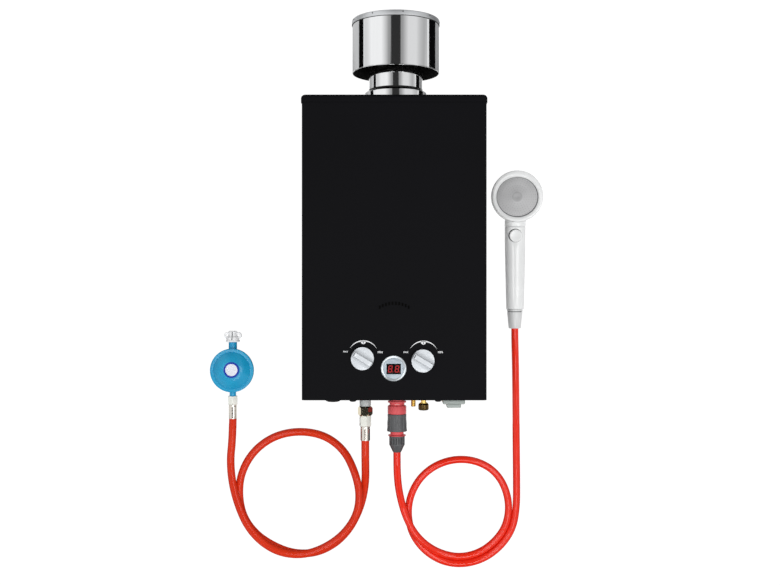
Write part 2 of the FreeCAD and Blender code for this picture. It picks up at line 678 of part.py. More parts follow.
def rain_cap_brackets():
    """Three straps that carry the drum on the pipe, with a tab at each end."""
    straps = []
    y0 = drum_y + CAP_STRAP_RISE
    half = CAP_STRAP_WIDTH / 2
    reach_in = math.sqrt((PIPE_RADIUS + SLIP) ** 2 - half ** 2) + half ** 2 / PIPE_RADIUS
    reach_out = math.sqrt((DRUM_RADIUS - FLUE_SHEET - SLIP) ** 2 - half ** 2)
    thick = CAP_STRAP_THICKNESS
    bore = rod_y(FLUE_X, flue_z, y0 - 1, y0 + CAP_STRAP_TAB + 1, PIPE_RADIUS + SLIP)
    for angle in CAP_STRAP_ANGLES:
        bar = box((reach_in - thick, reach_out), (y0, y0 + thick), (-half, half))
        inner_tab = box((reach_in - thick, reach_in + thick), (y0, y0 + CAP_STRAP_TAB), (-half, half))
        outer_tab = box((reach_out - thick, reach_out), (y0, y0 + CAP_STRAP_TAB), (-half, half))
        strap = fuse(bar, inner_tab, outer_tab)
        strap.rotate(FreeCAD.Vector(0, 0, 0), FreeCAD.Vector(0, -1, 0), angle)
        strap.translate(FreeCAD.Vector(FLUE_X, 0, flue_z))
        straps.append(cut(strap, bore))
    return straps


def flue_hood():
    wall = HOT_SHEET
    shell = cut(box((stack_left, stack_right), (hood_y, hood_top_y), (stack_back, stack_front)),
                box((stack_left + wall, stack_right - wall), (hood_y - 1, hood_top_y - wall),
                    (stack_back + wall, stack_front - wall)))
    spigot = rod_y(FLUE_X, flue_z, hood_top_y - wall, top_y + SPIGOT_RISE, spigot_radius)
    bore = rod_y(FLUE_X, flue_z, hood_top_y - wall - 1, top_y + SPIGOT_RISE + 1, spigot_radius - wall)
    return cut(fuse(shell, spigot), bore)


# ---------------------------------------------------------------- heat exchanger and burner
def heat_exchanger():
    block = box((stack_left, stack_right), (exchanger_y, hood_y), (stack_back, stack_front))
    pitch = (STACK_WIDTH - FIN_THICKNESS) / FIN_COUNT
    gaps = []
    for index in range(FIN_COUNT):
        left = stack_left + FIN_THICKNESS + index * pitch
        gaps.append(box((left, left + pitch - FIN_THICKNESS), (exchanger_y - 1, hood_y + 1),
                        (stack_back + FIN_THICKNESS, stack_front - FIN_THICKNESS)))
    finned = cut(block, *gaps)
    middle_y = (exchanger_y + hood_y) / 2
    tubes = [rod_x(middle_y, flue_z + step * STACK_DEPTH / 4, stack_left, stack_right, WATER_TUBE_RADIUS)
             for step in (-1, 0, 1)]
    return fuse(finned, *tubes)


def electrode_places():
    y = chamber_y + ELECTRODE_RISE
    return [(FLUE_X - ELECTRODE_PITCH / 2, y), (FLUE_X + ELECTRODE_PITCH / 2, y)]


def combustion_chamber():
    wall = HOT_SHEET
    shell = cut(box((stack_left, stack_right), (chamber_y, exchanger_y), (stack_back, stack_front)),
                box((stack_left + wall, stack_right - wall), (chamber_y - 1, exchanger_y + 1),
                    (stack_back + wall, stack_front - wall)))
    holes = [rod_z(x, y, stack_front - 2 * wall, stack_front + 1, CERAMIC_RADIUS + SLIP)
             for x, y in electrode_places()]
    return cut(shell, *holes)


def electrodes():
    """Spark and flame-sensing pins in ceramic sleeves through the chamber's front."""
    pins = []
    for x, y in electrode_places():
        back = stack_front - CERAMIC_LENGTH / 2
        pins.append(fuse(rod_z(x, y, back, back + CERAMIC_LENGTH, CERAMIC_RADIUS),
                         rod_z(x, y, back - ELECTRODE_TIP_LENGTH, back, ELECTRODE_TIP_RADIUS)))
    return pins


def burner_rack():
    """Open tray with a row of upright burner blades."""
    wall = HOT_SHEET
    x = (stack_left + wall, stack_right - wall)
    z = (stack_back + wall, stack_front - wall)
    inner = (x[0] + wall, x[1] - wall)
    tray = cut(box(x, (burner_y, chamber_y), z),
               box(inner, (burner_y + wall, chamber_y + 1), (z[0] + wall, z[1] - wall)))
    pitch = (inner[1] - inner[0]) / BLADE_COUNT
    blades = []
    for index in range(BLADE_COUNT):
        centre = inner[0] + (index + 0.5) * pitch
        blades.append(box((centre - BLADE_THICKNESS / 2, centre + BLADE_THICKNESS / 2),
                          (burner_y + wall, chamber_y - BLADE_DROP), (z[0] + 2 * wall, z[1] - 2 * wall)))
    return [tray] + blades


def gas_manifold():
    wall = HOT_SHEET
    half = MANIFOLD_SIZE / 2
    bar = box((stack_left + 6 * wall, stack_right - 6 * wall), (manifold_y, manifold_y + MANIFOLD_SIZE),
              (flue_z - half, flue_z + half))
    feed = rod_y(HEAT_KNOB_X, flue_z, gas_valve_top_y, manifold_y, FEED_RADIUS)
    inner = (stack_left + 2 * wall, stack_right - 2 * wall)
    pitch = (inner[1] - inner[0]) / BLADE_COUNT
    nozzles = [rod_y(inner[0] + (index + 0.5) * pitch, flue_z, manifold_y + MANIFOLD_SIZE, burner_y,
                     NOZZLE_RADIUS) for index in range(BLADE_COUNT)]
    return fuse(bar, feed, *nozzles)


def riser(x, z_foot, y_foot, y_top):
    """Water pipe that climbs behind the burner and turns into the heat exchanger."""
    points = [FreeCAD.Vector(x, y_foot, z_foot),
              FreeCAD.Vector(x, y_foot + RISER_KNEE * 0.4, z_foot),
              FreeCAD.Vector(x, y_foot + RISER_KNEE, riser_z),
              FreeCAD.Vector(x, y_top, riser_z),
              FreeCAD.Vector(x, y_top, stack_back)]
    bend = 2 * RISER_RADIUS
    return swept(rounded_path(points, [bend, bend, RISER_RADIUS * 1.2]), RISER_RADIUS)


def water_pipes():
    outlet_top = plate_top_y + OUTLET_NIPPLE_RISE
    hot_foot = rod_y(OUTLET_X, FITTING_Z, outlet_top, water_valve_top_y, RISER_RADIUS)
    hot = riser(OUTLET_X, FITTING_Z, water_valve_top_y, hood_y - 2 * RISER_RADIUS)
    cold = riser(COLD_RISER_X, FITTING_Z, water_valve_top_y, exchanger_y + 2 * RISER_RADIUS)
    return [fuse(hot_foot, hot), cold]


# ---------------------------------------------------------------- valves, rod and switch
def gas_valve():
    half = GAS_VALVE_WIDTH / 2
    body = box((HEAT_KNOB_X - half, gas_valve_right_x), (gas_valve_bottom_y, gas_valve_top_y),
               (GAS_VALVE_BACK, valve_front_z))
    spindle_bore = rod_z(HEAT_KNOB_X, heat_knob_y, valve_front_z - SPINDLE_SEAT - SLIP, valve_front_z + 1,
                         SPINDLE_RADIUS + SHAFT_FIT)
    rod_bore = rod_x(flow_knob_y, ROD_Z, gas_valve_right_x - ROD_SEAT - ROD_STROKE - 1,
                     gas_valve_right_x + 1, ROD_RADIUS + SHAFT_FIT)
    return cut(body, spindle_bore, rod_bore)


def water_valve():
    body = box((water_valve_left_x, FLOW_KNOB_X + WATER_VALVE_RIGHT),
               (water_valve_bottom_y, water_valve_top_y), (WATER_VALVE_BACK, valve_front_z))
    capsule = rod_x(flow_knob_y, ROD_Z, capsule_left_x, water_valve_left_x, CAPSULE_RADIUS)
    chamber = rod_x(flow_knob_y, ROD_Z, capsule_left_x + CAPSULE_WALL, water_valve_left_x - CAPSULE_WALL,
                    CAPSULE_RADIUS - CAPSULE_WALL)
    rod_bore = rod_x(flow_knob_y, ROD_Z, capsule_left_x - 1, capsule_left_x + CAPSULE_WALL + 1,
                     ROD_RADIUS + SHAFT_FIT)
    spindle_bore = rod_z(FLOW_KNOB_X, flow_knob_y, valve_front_z - SPINDLE_SEAT - SLIP, valve_front_z + 1,
                         SPINDLE_RADIUS + SHAFT_FIT)
    return cut(fuse(body, capsule), chamber, rod_bore, spindle_bore)


def diaphragm_x():
    """Left face of the diaphragm, near the right wall of its chamber."""
    return water_valve_left_x - CAPSULE_WALL - PLAY - DIAPHRAGM_THICKNESS


def valve_diaphragm():
    left = diaphragm_x()
    radius = CAPSULE_RADIUS - CAPSULE_WALL - DIAPHRAGM_MARGIN
    return rod_x(flow_knob_y, ROD_Z, left, left + DIAPHRAGM_THICKNESS, radius)


def lever_low_z():
    return ROD_Z + ROD_RADIUS + 2 * PLAY


def push_rod():
    """Rod between the diaphragm and the gas valve, with a peg for the switch lever."""
    shaft = rod_x(flow_knob_y, ROD_Z, gas_valve_right_x - ROD_SEAT, diaphragm_x(), ROD_RADIUS)
    peg_x = pivot_x + LEVER_THICKNESS / 2 + PEG_GAP
    peg = box((peg_x, peg_x + PEG_WIDTH), (flow_knob_y - PEG_WIDTH / 2, flow_knob_y + PEG_WIDTH / 2),
              (ROD_Z, lever_low_z() + LEVER_WIDTH))
    return fuse(shaft, peg)


def microswitch():
    """Switch on the gas valve's side, with two ears and a pin for its lever."""
    body_right = pivot_x - LEVER_KNUCKLE_RADIUS - SWITCH_GAP
    low = lever_low_z()
    body = box((gas_valve_right_x, body_right), (pivot_y - SWITCH_LENGTH / 2, pivot_y + SWITCH_LENGTH / 2),
               (low - (SWITCH_HEIGHT - LEVER_WIDTH) / 2, low + (SWITCH_HEIGHT + LEVER_WIDTH) / 2))
    half = SWITCH_EAR / 2
    lower, upper = low - PLAY, low + LEVER_WIDTH + PLAY
    ears = [box((body_right, pivot_x + half), (pivot_y - half, pivot_y + half), span)
            for span in ((lower - SWITCH_EAR_SHEET, lower), (upper, upper + SWITCH_EAR_SHEET))]
    pin = rod_z(pivot_x, pivot_y, lower - SWITCH_EAR_SHEET, upper + SWITCH_EAR_SHEET, LEVER_PIN_RADIUS)
    return fuse(body, *ears, pin)


def microswitch_lever():
    low = lever_low_z()
    half = LEVER_THICKNESS / 2
    blade = box((pivot_x - half, pivot_x + half), (flow_knob_y - LEVER_TAIL, pivot_y),
                (low, low + LEVER_WIDTH))
    knuckle = rod_z(pivot_x, pivot_y, low, low + LEVER_WIDTH, LEVER_KNUCKLE_RADIUS)
    pin_hole = rod_z(pivot_x, pivot_y, low - 1, low + LEVER_WIDTH + 1, LEVER_PIN_RADIUS + SHAFT_FIT)
    return cut(fuse(blade, knuckle), pin_hole)


def igniter_module():
    width, length, height = IGNITER_SIZE
    case = box((igniter_x - width / 2, igniter_x + width / 2),
               (heat_knob_y - length / 2, heat_knob_y + length / 2), (SHEET, SHEET + height))
    return fillet_along(case, FreeCAD.Vector(0, 0, 1), IGNITER_CORNER_RADIUS, lambda p: True)


# ---------------------------------------------------------------- knobs and display
def spindle(x, y):
    tip = BODY_DEPTH + PLAY + KNOB_BORE_DEPTH - SLIP
    return rod_z(x, y, valve_front_z - SPINDLE_SEAT, tip, SPINDLE_RADIUS)


def knob(x, y, pointer_angle):
    """Round knob with two scooped sides that leave a raised grip across it."""
    base = BODY_DEPTH + PLAY
    top = base + KNOB_HEIGHT
    skirt = base + KNOB_SKIRT
    disc = rod_z(0, 0, base, top, KNOB_RADIUS)
    top_edges = [edge for edge in disc.Edges if edge.BoundBox.ZMin > top - 0.01]
    disc = disc.makeFillet(KNOB_EDGE_RADIUS, top_edges)
    scoops = []
    for side in (-1, 1):
        y_range = sorted((side * KNOB_GRIP_WIDTH / 2, side * (KNOB_RADIUS + 1)))
        scoop = box((-KNOB_RADIUS - 1, KNOB_RADIUS + 1), y_range, (skirt, top + 1))
        scoops.append(fillet_along(scoop, FreeCAD.Vector(1, 0, 0), KNOB_SCOOP_RADIUS,
                                   lambda p: p.z < skirt + 1 and abs(p.y) < KNOB_GRIP_WIDTH))
    bore = rod_z(0, 0, base - 1, base + KNOB_BORE_DEPTH, SPINDLE_RADIUS + SLIP / 2)
    shape = cut(disc, *scoops, bore)
    shape.rotate(FreeCAD.Vector(0, 0, 0), FreeCAD.Vector(0, 0, 1), pointer_angle)
    shape.translate(FreeCAD.Vector(x, y, 0))
    return shape


def window_span(extra):
    """X and Y ranges of the display's window, widened on each side."""
    centre_y = display_y - WINDOW_DROP
    half_w, half_h = WINDOW_WIDTH / 2 + extra, WINDOW_HEIGHT / 2 + extra
    return (DISPLAY_X - half_w, DISPLAY_X + half_w), (centre_y - half_h, centre_y + half_h)


def display_bezel():
    front = BODY_DEPTH + BEZEL_HEIGHT
    inner = BEZEL_RADIUS - BEZEL_RIM
    body = turned_z(DISPLAY_X, display_y, (
        (0, BODY_DEPTH - BEZEL_NECK_DEPTH), (BEZEL_NECK_RADIUS, BODY_DEPTH - BEZEL_NECK_DEPTH),
        (BEZEL_NECK_RADIUS, BODY_DEPTH), (BEZEL_RADIUS, BODY_DEPTH), (BEZEL_RADIUS, front - BEZEL_RIM_STEP),
        (BEZEL_RADIUS - BEZEL_RIM_STEP, front), (inner, front), (inner, front - BEZEL_RIM_STEP),
        (0, front - BEZEL_RIM_STEP)))
    x, y = window_span(0)
    return cut(body, box(x, y, (0, front + 1)))


def display_module():
    """Module behind the bezel, with its dark glass standing in the window."""
    back = BODY_DEPTH - BEZEL_NECK_DEPTH
    half_w, half_h = MODULE_WIDTH / 2, MODULE_HEIGHT / 2
    case = box((DISPLAY_X - half_w, DISPLAY_X + half_w), (display_y - half_h, display_y + half_h),
               (back - MODULE_DEPTH, back))
    x, y = window_span(-SLIP)
    glass = box(x, y, (back, BODY_DEPTH + BEZEL_HEIGHT - BEZEL_RIM_STEP - WINDOW_RECESS))
    return fuse(case, glass)


# ---------------------------------------------------------------- battery box
def drawer_half_width():
    return CELL_DIAMETER / 2 + CELL_GAP + TRAY_WALL


def drawer_half_span():
    return CELL_DIAMETER + 1.5 * CELL_GAP + TRAY_WALL


def battery_box_span():
    half_x = drawer_half_width() + PLAY + BOX_WALL
    half_z = drawer_half_span() + PLAY + BOX_WALL
    return (battery_x - half_x, battery_x + half_x), (BATTERY_Z - half_z, BATTERY_Z + half_z)


def battery_box():
    x, z = battery_box_span()
    low = bottom_y - BATTERY_BOX_DROP
    high = low + CELL_LENGTH + 2 * TRAY_WALL + 2 * CELL_GAP + PLAY + BOX_WALL
    cavity = box((x[0] + BOX_WALL, x[1] - BOX_WALL), (low - 1, high - BOX_WALL),
                 (z[0] + BOX_WALL, z[1] - BOX_WALL))
    return cut(box(x, (low, high), z), cavity)


def battery_drawer():
    """Drawer for two cells side by side, with a front plate and a grip."""
    half_x, half_z = drawer_half_width(), drawer_half_span()
    low = bottom_y - BATTERY_BOX_DROP - PLAY
    high = low + PLAY + CELL_LENGTH + 2 * TRAY_WALL + 2 * CELL_GAP
    left, right = battery_x - half_x, battery_x + half_x
    back, front = BATTERY_Z - half_z, BATTERY_Z + half_z
    tray = cut(box((left, right), (low, high), (back, front)),
               box((left + TRAY_WALL, right - TRAY_WALL), (low + TRAY_WALL, high - TRAY_WALL),
                   (back + TRAY_WALL, front + 1)))
    x, z = battery_box_span()
    face = box(x, (low - DRAWER_FRONT, low), z)
    face = fillet_along(face, FreeCAD.Vector(0, 1, 0), DRAWER_CORNER_RADIUS, lambda p: True)
    grip_low = low - DRAWER_FRONT - DRAWER_GRIP_PROUD
    grip = box((battery_x - DRAWER_GRIP_WIDTH / 2, battery_x + DRAWER_GRIP_WIDTH / 2),
               (grip_low, low - DRAWER_FRONT), (z[1] - DRAWER_GRIP_HEIGHT, z[1]))
    return fuse(tray, face, grip)


def batteries():
    low = bottom_y - BATTERY_BOX_DROP + TRAY_WALL + CELL_GAP
    offset = (CELL_DIAMETER + CELL_GAP) / 2
    return [rod_y(battery_x, BATTERY_Z + side * offset, low, low + CELL_LENGTH, CELL_DIAMETER / 2)
            for side in (-1, 1)]


# ---------------------------------------------------------------- bottom fittings
def gas_inlet_end():
    """Lower end of the gas inlet's thread."""
    return bottom_y - GAS_INLET_DROP - GAS_THREAD_LENGTH


def gas_inlet_fitting():
    shoulder = bottom_y - GAS_INLET_DROP
    end = gas_inlet_end()
    body = fuse(rod_y(GAS_INLET_X, FITTING_Z, shoulder, gas_valve_bottom_y, GAS_INLET_RADIUS),
                rod_y(GAS_INLET_X, FITTING_Z, end, shoulder, GAS_THREAD_RADIUS),
                hex_y(GAS_INLET_X, FITTING_Z, plate_top_y, plate_top_y + HEX_THICKNESS, HEX_FLATS))
    return cut(body, rod_y(GAS_INLET_X, FITTING_Z, end - 1, gas_valve_bottom_y + 1, GAS_BORE_RADIUS))


def nipple(x, z, low, high):
    """Pipe nipple with its thread below the bottom plate and a hexagon on top of the plate."""
    body = fuse(rod_y(x, z, low, plate_y, NIPPLE_RADIUS),
                rod_y(x, z, plate_y, high, NIPPLE_COLLAR_RADIUS),
                hex_y(x, z, plate_top_y, plate_top_y + HEX_THICKNESS, HEX_FLATS))
    return cut(body, rod_y(x, z, low - 1, high + 1, NIPPLE_BORE_RADIUS))


def water_nipples():
    inlet = nipple(INLET_X, INLET_Z, bottom_y - INLET_DROP, water_valve_bottom_y)
    outlet = nipple(OUTLET_X, FITTING_Z, bottom_y - OUTLET_DROP, plate_top_y + OUTLET_NIPPLE_RISE)
    return [inlet, outlet]


def relief_end():
    return bottom_y - RELIEF_DROP


def relief_valve_body():
    return rod_y(RELIEF_X, FITTING_Z, relief_end() + RELIEF_CAP_LENGTH / 3, water_valve_bottom_y,
                 RELIEF_STEM_RADIUS)


def relief_valve_cap():
    """Knurled cap that screws over the relief stem."""
    low = relief_end()
    high = low + RELIEF_CAP_LENGTH
    chamfer = RELIEF_CAP_RADIUS * 0.25
    radius = RELIEF_CAP_RADIUS
    cap = turned_y(RELIEF_X, FITTING_Z, (
        (low, 0), (low, radius - chamfer), (low + chamfer, radius),
        (high - chamfer, radius), (high, radius - chamfer), (high, 0)))
    notches = flutes(RELIEF_X, FITTING_Z, low - 1, high + 1, radius, RELIEF_CAP_NOTCHES)
    bore = rod_y(RELIEF_X, FITTING_Z, low + RELIEF_CAP_LENGTH / 3 - PLAY, high + 1,
                 RELIEF_STEM_RADIUS + PLAY)
    return cut(cap, bore, *notches)


def drain_stub():
    return rod_y(DRAIN_X, FITTING_Z, bottom_y - DRAIN_DROP, water_valve_bottom_y, DRAIN_RADIUS)


# ---------------------------------------------------------------- gas line
def union_top():
    return bottom_y - GAS_INLET_DROP - PLAY


def gas_union_nut():
    top = union_top()
    low = top - UNION_LENGTH
    nut = hex_y(GAS_INLET_X, FITTING_Z, low, top, UNION_FLATS)
    bore = rod_y(GAS_INLET_X, FITTING_Z, low + UNION_LIP, top + 1, GAS_THREAD_RADIUS + PLAY)
    throat = rod_y(GAS_INLET_X, FITTING_Z, low - 1, top, TAIL_STEM_RADIUS + PLAY)
    return cut(nut, bore, throat)


def gas_hose_fittings():
    """Tail and ferrule at the heater, and hexagon and ferrule at the regulator."""
    seat = gas_inlet_end()
    hex_top = union_top() - UNION_LENGTH - PLAY
    hex_low = hex_top - TAIL_LENGTH
    flange_low = union_top() - UNION_LENGTH + UNION_LIP + PLAY
    tail = fuse(rod_y(GAS_INLET_X, FITTING_Z, flange_low, seat, GAS_THREAD_RADIUS - PLAY),
                rod_y(GAS_INLET_X, FITTING_Z, hex_top, flange_low, TAIL_STEM_RADIUS),
                hex_y(GAS_INLET_X, FITTING_Z, hex_low, hex_top, TAIL_FLATS))
    ferrule = rod_y(GAS_INLET_X, FITTING_Z, hex_low - FERRULE_LENGTH, hex_low, FERRULE_RADIUS)
    neck_end = REGULATOR_Y - OUTLET_NECK_END
    hex_end = neck_end - OUTLET_HEX_LENGTH
    outlet_hex = hex_y(REGULATOR_X, REGULATOR_AXIS_Z, hex_end, neck_end, OUTLET_HEX_FLATS)
    outlet_ferrule = rod_y(REGULATOR_X, REGULATOR_AXIS_Z, hex_end - OUTLET_FERRULE_LENGTH, hex_end,
                           OUTLET_FERRULE_RADIUS)
    return [tail, ferrule, outlet_hex, outlet_ferrule]


def regulator_body():
    """Lower bowl with the inlet and outlet necks."""
    rim_top = REGULATOR_BOWL_HEIGHT + REGULATOR_RIM_HEIGHT
    bowl = turned_z(REGULATOR_X, REGULATOR_Y, (
        (0, 0), (REGULATOR_BASE_RADIUS, 0), (REGULATOR_BASE_RADIUS, REGULATOR_FOOT_HEIGHT),
        (REGULATOR_BOWL_RADIUS, REGULATOR_BOWL_HEIGHT * 0.55),
        (REGULATOR_BOWL_RADIUS, REGULATOR_BOWL_HEIGHT), (REGULATOR_RIM_RADIUS, REGULATOR_BOWL_HEIGHT),
        (REGULATOR_RIM_RADIUS, rim_top), (0, rim_top)))
    x, y, z = REGULATOR_X, REGULATOR_Y, REGULATOR_AXIS_Z
    neck_end = y + INLET_NECK_END
    inlet = rod_y(x, z, y, neck_end, INLET_NECK_RADIUS)
    spigot = rod_y(x, z, neck_end, neck_end + CYLINDER_SPIGOT_LENGTH, CYLINDER_SPIGOT_RADIUS)
    outlet = rod_y(x, z, y - OUTLET_NECK_END, y, OUTLET_NECK_RADIUS)
    pocket_floor = rim_top - MEMBRANE_TRAVEL - PLAY
    pocket = rod_z(x, y, pocket_floor, rim_top + 1, MEMBRANE_RADIUS + PLAY)
    return cut(fuse(bowl, inlet, spigot, outlet), pocket)


def membrane_z():
    return REGULATOR_BOWL_HEIGHT + REGULATOR_RIM_HEIGHT


def regulator_diaphragm():
    low = membrane_z()
    return rod_z(REGULATOR_X, REGULATOR_Y, low, low + MEMBRANE_THICKNESS, MEMBRANE_RADIUS)


def regulator_cover():
    """Domed cover with its own rim, a spring chamber and a raised flat for the badge."""
    base = membrane_z() + SLIP
    rim_top = base + REGULATOR_RIM_HEIGHT
    crown = rim_top + REGULATOR_DOME_HEIGHT
    dome, rise = REGULATOR_DOME_RADIUS, REGULATOR_DOME_HEIGHT
    shell = turned_z(REGULATOR_X, REGULATOR_Y, (
        (0, base), (REGULATOR_RIM_RADIUS, base), (REGULATOR_RIM_RADIUS, rim_top), (dome, rim_top),
        (dome * 0.97, rim_top + rise * 0.38), (dome * 0.8, rim_top + rise * 0.76),
        (REGULATOR_BADGE_RADIUS + 1, crown), (0, crown)))
    room = membrane_z() + MEMBRANE_THICKNESS + MEMBRANE_TRAVEL + PLAY
    membrane_room = rod_z(REGULATOR_X, REGULATOR_Y, base - 1, room, MEMBRANE_RADIUS + PLAY)
    spring_room = rod_z(REGULATOR_X, REGULATOR_Y, base - 1, crown - REGULATOR_WALL,
                        SPRING_RADIUS + SPRING_WIRE_RADIUS + PLAY)
    return cut(shell, membrane_room, spring_room)


def regulator_spring():
    low = membrane_z() + MEMBRANE_THICKNESS + SLIP
    high = membrane_z() + REGULATOR_RIM_HEIGHT + REGULATOR_DOME_HEIGHT - REGULATOR_WALL
    return coil_spring(REGULATOR_X, REGULATOR_Y, low, high, SPRING_RADIUS, SPRING_WIRE_RADIUS,
                       SPRING_TURNS)


def cylinder_nut():
    """Wing nut that turns on the regulator's inlet spigot."""
    low = REGULATOR_Y + INLET_NECK_END + PLAY
    high = low + CYLINDER_NUT_LENGTH
    x, z = REGULATOR_X, REGULATOR_AXIS_Z
    body = fuse(rod_y(x, z, low, high, CYLINDER_BARREL_RADIUS),
                rod_y(x, z, low, low + CYLINDER_FLANGE_LENGTH, CYLINDER_FLANGE_RADIUS))
    wing_y = high - WING_DROP
    loops, holes = [], []
    for side in (-1, 1):
        wing_x = x + side * (WING_REACH - WING_RADIUS)
        loops.append(rod_z(wing_x, wing_y, z - WING_THICKNESS / 2, z + WING_THICKNESS / 2, WING_RADIUS))
        holes.append(rod_z(wing_x + side, wing_y, z - WING_THICKNESS, z + WING_THICKNESS,
                           WING_HOLE_RADIUS))
    spigot_bore = rod_y(x, z, low - 1, low + CYLINDER_SPIGOT_LENGTH, CYLINDER_SPIGOT_RADIUS + PLAY)
    thread = rod_y(x, z, high - CYLINDER_THREAD_LENGTH, high + 1, CYLINDER_THREAD_RADIUS)
    return cut(fuse(body, *loops), *holes, spigot_bore, thread)


# ---------------------------------------------------------------- shower line
def shoulder_low():
    return bottom_y - ADAPTOR_SHOULDER_DROP - ADAPTOR_SHOULDER_LENGTH


def tap_adaptor():
    """Red adaptor on the outlet nipple, with the nose that the connector grips."""
    x, z = OUTLET_X, FITTING_Z
    shoulder_top = bottom_y - ADAPTOR_SHOULDER_DROP
    low = shoulder_low()
    nose_low = low - ADAPTOR_NOSE_LENGTH
    body = turned_y(x, z, (
        (plate_y - SLIP, 0), (plate_y - SLIP, ADAPTOR_NECK_RADIUS),
        (shoulder_top + ADAPTOR_BEVEL, ADAPTOR_NECK_RADIUS),
        (shoulder_top - ADAPTOR_BEVEL / 2, ADAPTOR_SHOULDER_RADIUS),
        (low, ADAPTOR_SHOULDER_RADIUS), (low, ADAPTOR_NOSE_RADIUS),
        (nose_low, ADAPTOR_NOSE_RADIUS), (nose_low, 0)))
    thread = rod_y(x, z, bottom_y - OUTLET_DROP - SLIP, plate_y + 1, NIPPLE_RADIUS + SLIP)
    bore = rod_y(x, z, nose_low - 1, bottom_y - OUTLET_DROP, ADAPTOR_BORE_RADIUS)
    width, height, depth = ADAPTOR_SLOT
    slot_y = bottom_y - OUTLET_DROP + 1
    slot = box((x - width / 2, x + width / 2), (slot_y - height / 2, slot_y + height / 2),
               (z + ADAPTOR_NECK_RADIUS - depth, z + ADAPTOR_NECK_RADIUS + 1))
    return cut(body, thread, bore, slot)


def release_sleeve():
    """Grey sleeve that slides towards the hose to free the connector."""
    x, z = OUTLET_X, FITTING_Z
    top = shoulder_low() - PLAY
    step = SLEEVE_LENGTH / 4
    radii = (SLEEVE_RADIUS, SLEEVE_WAIST_RADIUS, SLEEVE_RADIUS, SLEEVE_WAIST_RADIUS, SLEEVE_RADIUS)
    outline = [(top - index * step, radius) for index, radius in enumerate(radii)]
    outline += [(top - SLEEVE_LENGTH, CORE_RADIUS + PLAY), (top, CORE_RADIUS + PLAY)]
    sleeve = turned_y(x, z, outline)
    grooves = flutes(x, z, top - SLEEVE_LENGTH + FLUTE_END, top - FLUTE_END,
                     SLEEVE_RADIUS + FLUTE_LIFT, SLEEVE_FLUTES)
    return cut(sleeve, *grooves)


def core_band_low():
    return shoulder_low() - PLAY - SLEEVE_LENGTH - CORE_BAND


def spigot_low():
    return core_band_low() - CORE_FLANGE_LENGTH - CORE_SPIGOT_LENGTH


def connector_core():
    """Red inner body: it grips the adaptor's nose, and its flange stops the sleeve."""
    x, z = OUTLET_X, FITTING_Z
    band_low = core_band_low()
    flange_low = band_low - CORE_FLANGE_LENGTH
    top = shoulder_low() - PLAY - SLEEVE_LENGTH + CORE_ABOVE
    body = turned_y(x, z, (
        (top, 0), (top, CORE_RADIUS), (band_low, CORE_RADIUS), (band_low, CORE_FLANGE_RADIUS),
        (flange_low, CORE_FLANGE_RADIUS), (flange_low, CORE_SPIGOT_RADIUS),
        (spigot_low(), CORE_SPIGOT_RADIUS), (spigot_low(), 0)))
    socket = rod_y(x, z, shoulder_low() - ADAPTOR_NOSE_LENGTH - SLIP, top + 1,
                   ADAPTOR_NOSE_RADIUS + SLIP)
    bore = rod_y(x, z, spigot_low() - 1, top, ADAPTOR_BORE_RADIUS)
    return cut(body, socket, bore)


def connector_nut():
    """Ribbed grey nut and cone that clamp the hose."""
    x, z = OUTLET_X, FITTING_Z
    top = core_band_low() - CORE_FLANGE_LENGTH - PLAY
    cone_top = top - HOSE_NUT_LENGTH
    tip = cone_top - HOSE_NUT_CONE
    body = turned_y(x, z, ((top, 0), (top, HOSE_NUT_RADIUS), (cone_top, HOSE_NUT_RADIUS),
                           (tip, HOSE_NUT_TIP_RADIUS), (tip, 0)))
    spigot_bore = rod_y(x, z, spigot_low() - PLAY, top + 1, CORE_SPIGOT_RADIUS + PLAY)
    hose_bore = rod_y(x, z, tip - 1, top, SHOWER_HOSE_RADIUS + HOSE_HOLE_GAP)
    grooves = flutes(x, z, cone_top + FLUTE_END, top - FLUTE_END, HOSE_NUT_RADIUS + FLUTE_LIFT,
                     HOSE_NUT_RIBS)
    return cut(body, spigot_bore, hose_bore, *grooves)


def ellipse_wire(x, y, z, half_x, half_z):
    """Ellipse across the Y direction."""
    curve = Part.Ellipse(FreeCAD.Vector(0, 0, 0), max(half_x, half_z), min(half_x, half_z)).toShape()
    wire = Part.Wire(curve)
    wire.rotate(FreeCAD.Vector(0, 0, 0), FreeCAD.Vector(1, 0, 0), 90)
    wire.translate(FreeCAD.Vector(x, y, z))
    return wire


def button_top_z():
    return HANDLE_Z + HANDLE_SECTIONS[-1][2] + BUTTON_PROUD


def button_low_z():
    return button_top_z() - BUTTON_PROUD - BUTTON_DEPTH


def pocket_floor_z():
    return button_low_z() - BUTTON_TRAVEL - BUTTON_SPRING_ROOM


def handset_handle():
    length = HANDLE_TOP_Y - HANDLE_BOTTOM_Y
    wires = [ellipse_wire(HANDLE_X, HANDLE_BOTTOM_Y + share * length, HANDLE_Z, half_x, half_z)
             for share, half_x, half_z in HANDLE_SECTIONS]
    grip = Part.makeLoft(wires, True, False)
    spigot = rod_y(HANDLE_X, HANDLE_Z, HANDLE_BOTTOM_Y - CONE_SPIGOT_LENGTH, HANDLE_BOTTOM_Y,
                   CONE_SPIGOT_RADIUS)
    pocket = rod_z(HANDLE_X, BUTTON_Y, pocket_floor_z(), button_top_z(), BUTTON_RADIUS + PLAY)
    return cut(fuse(grip, spigot), pocket)


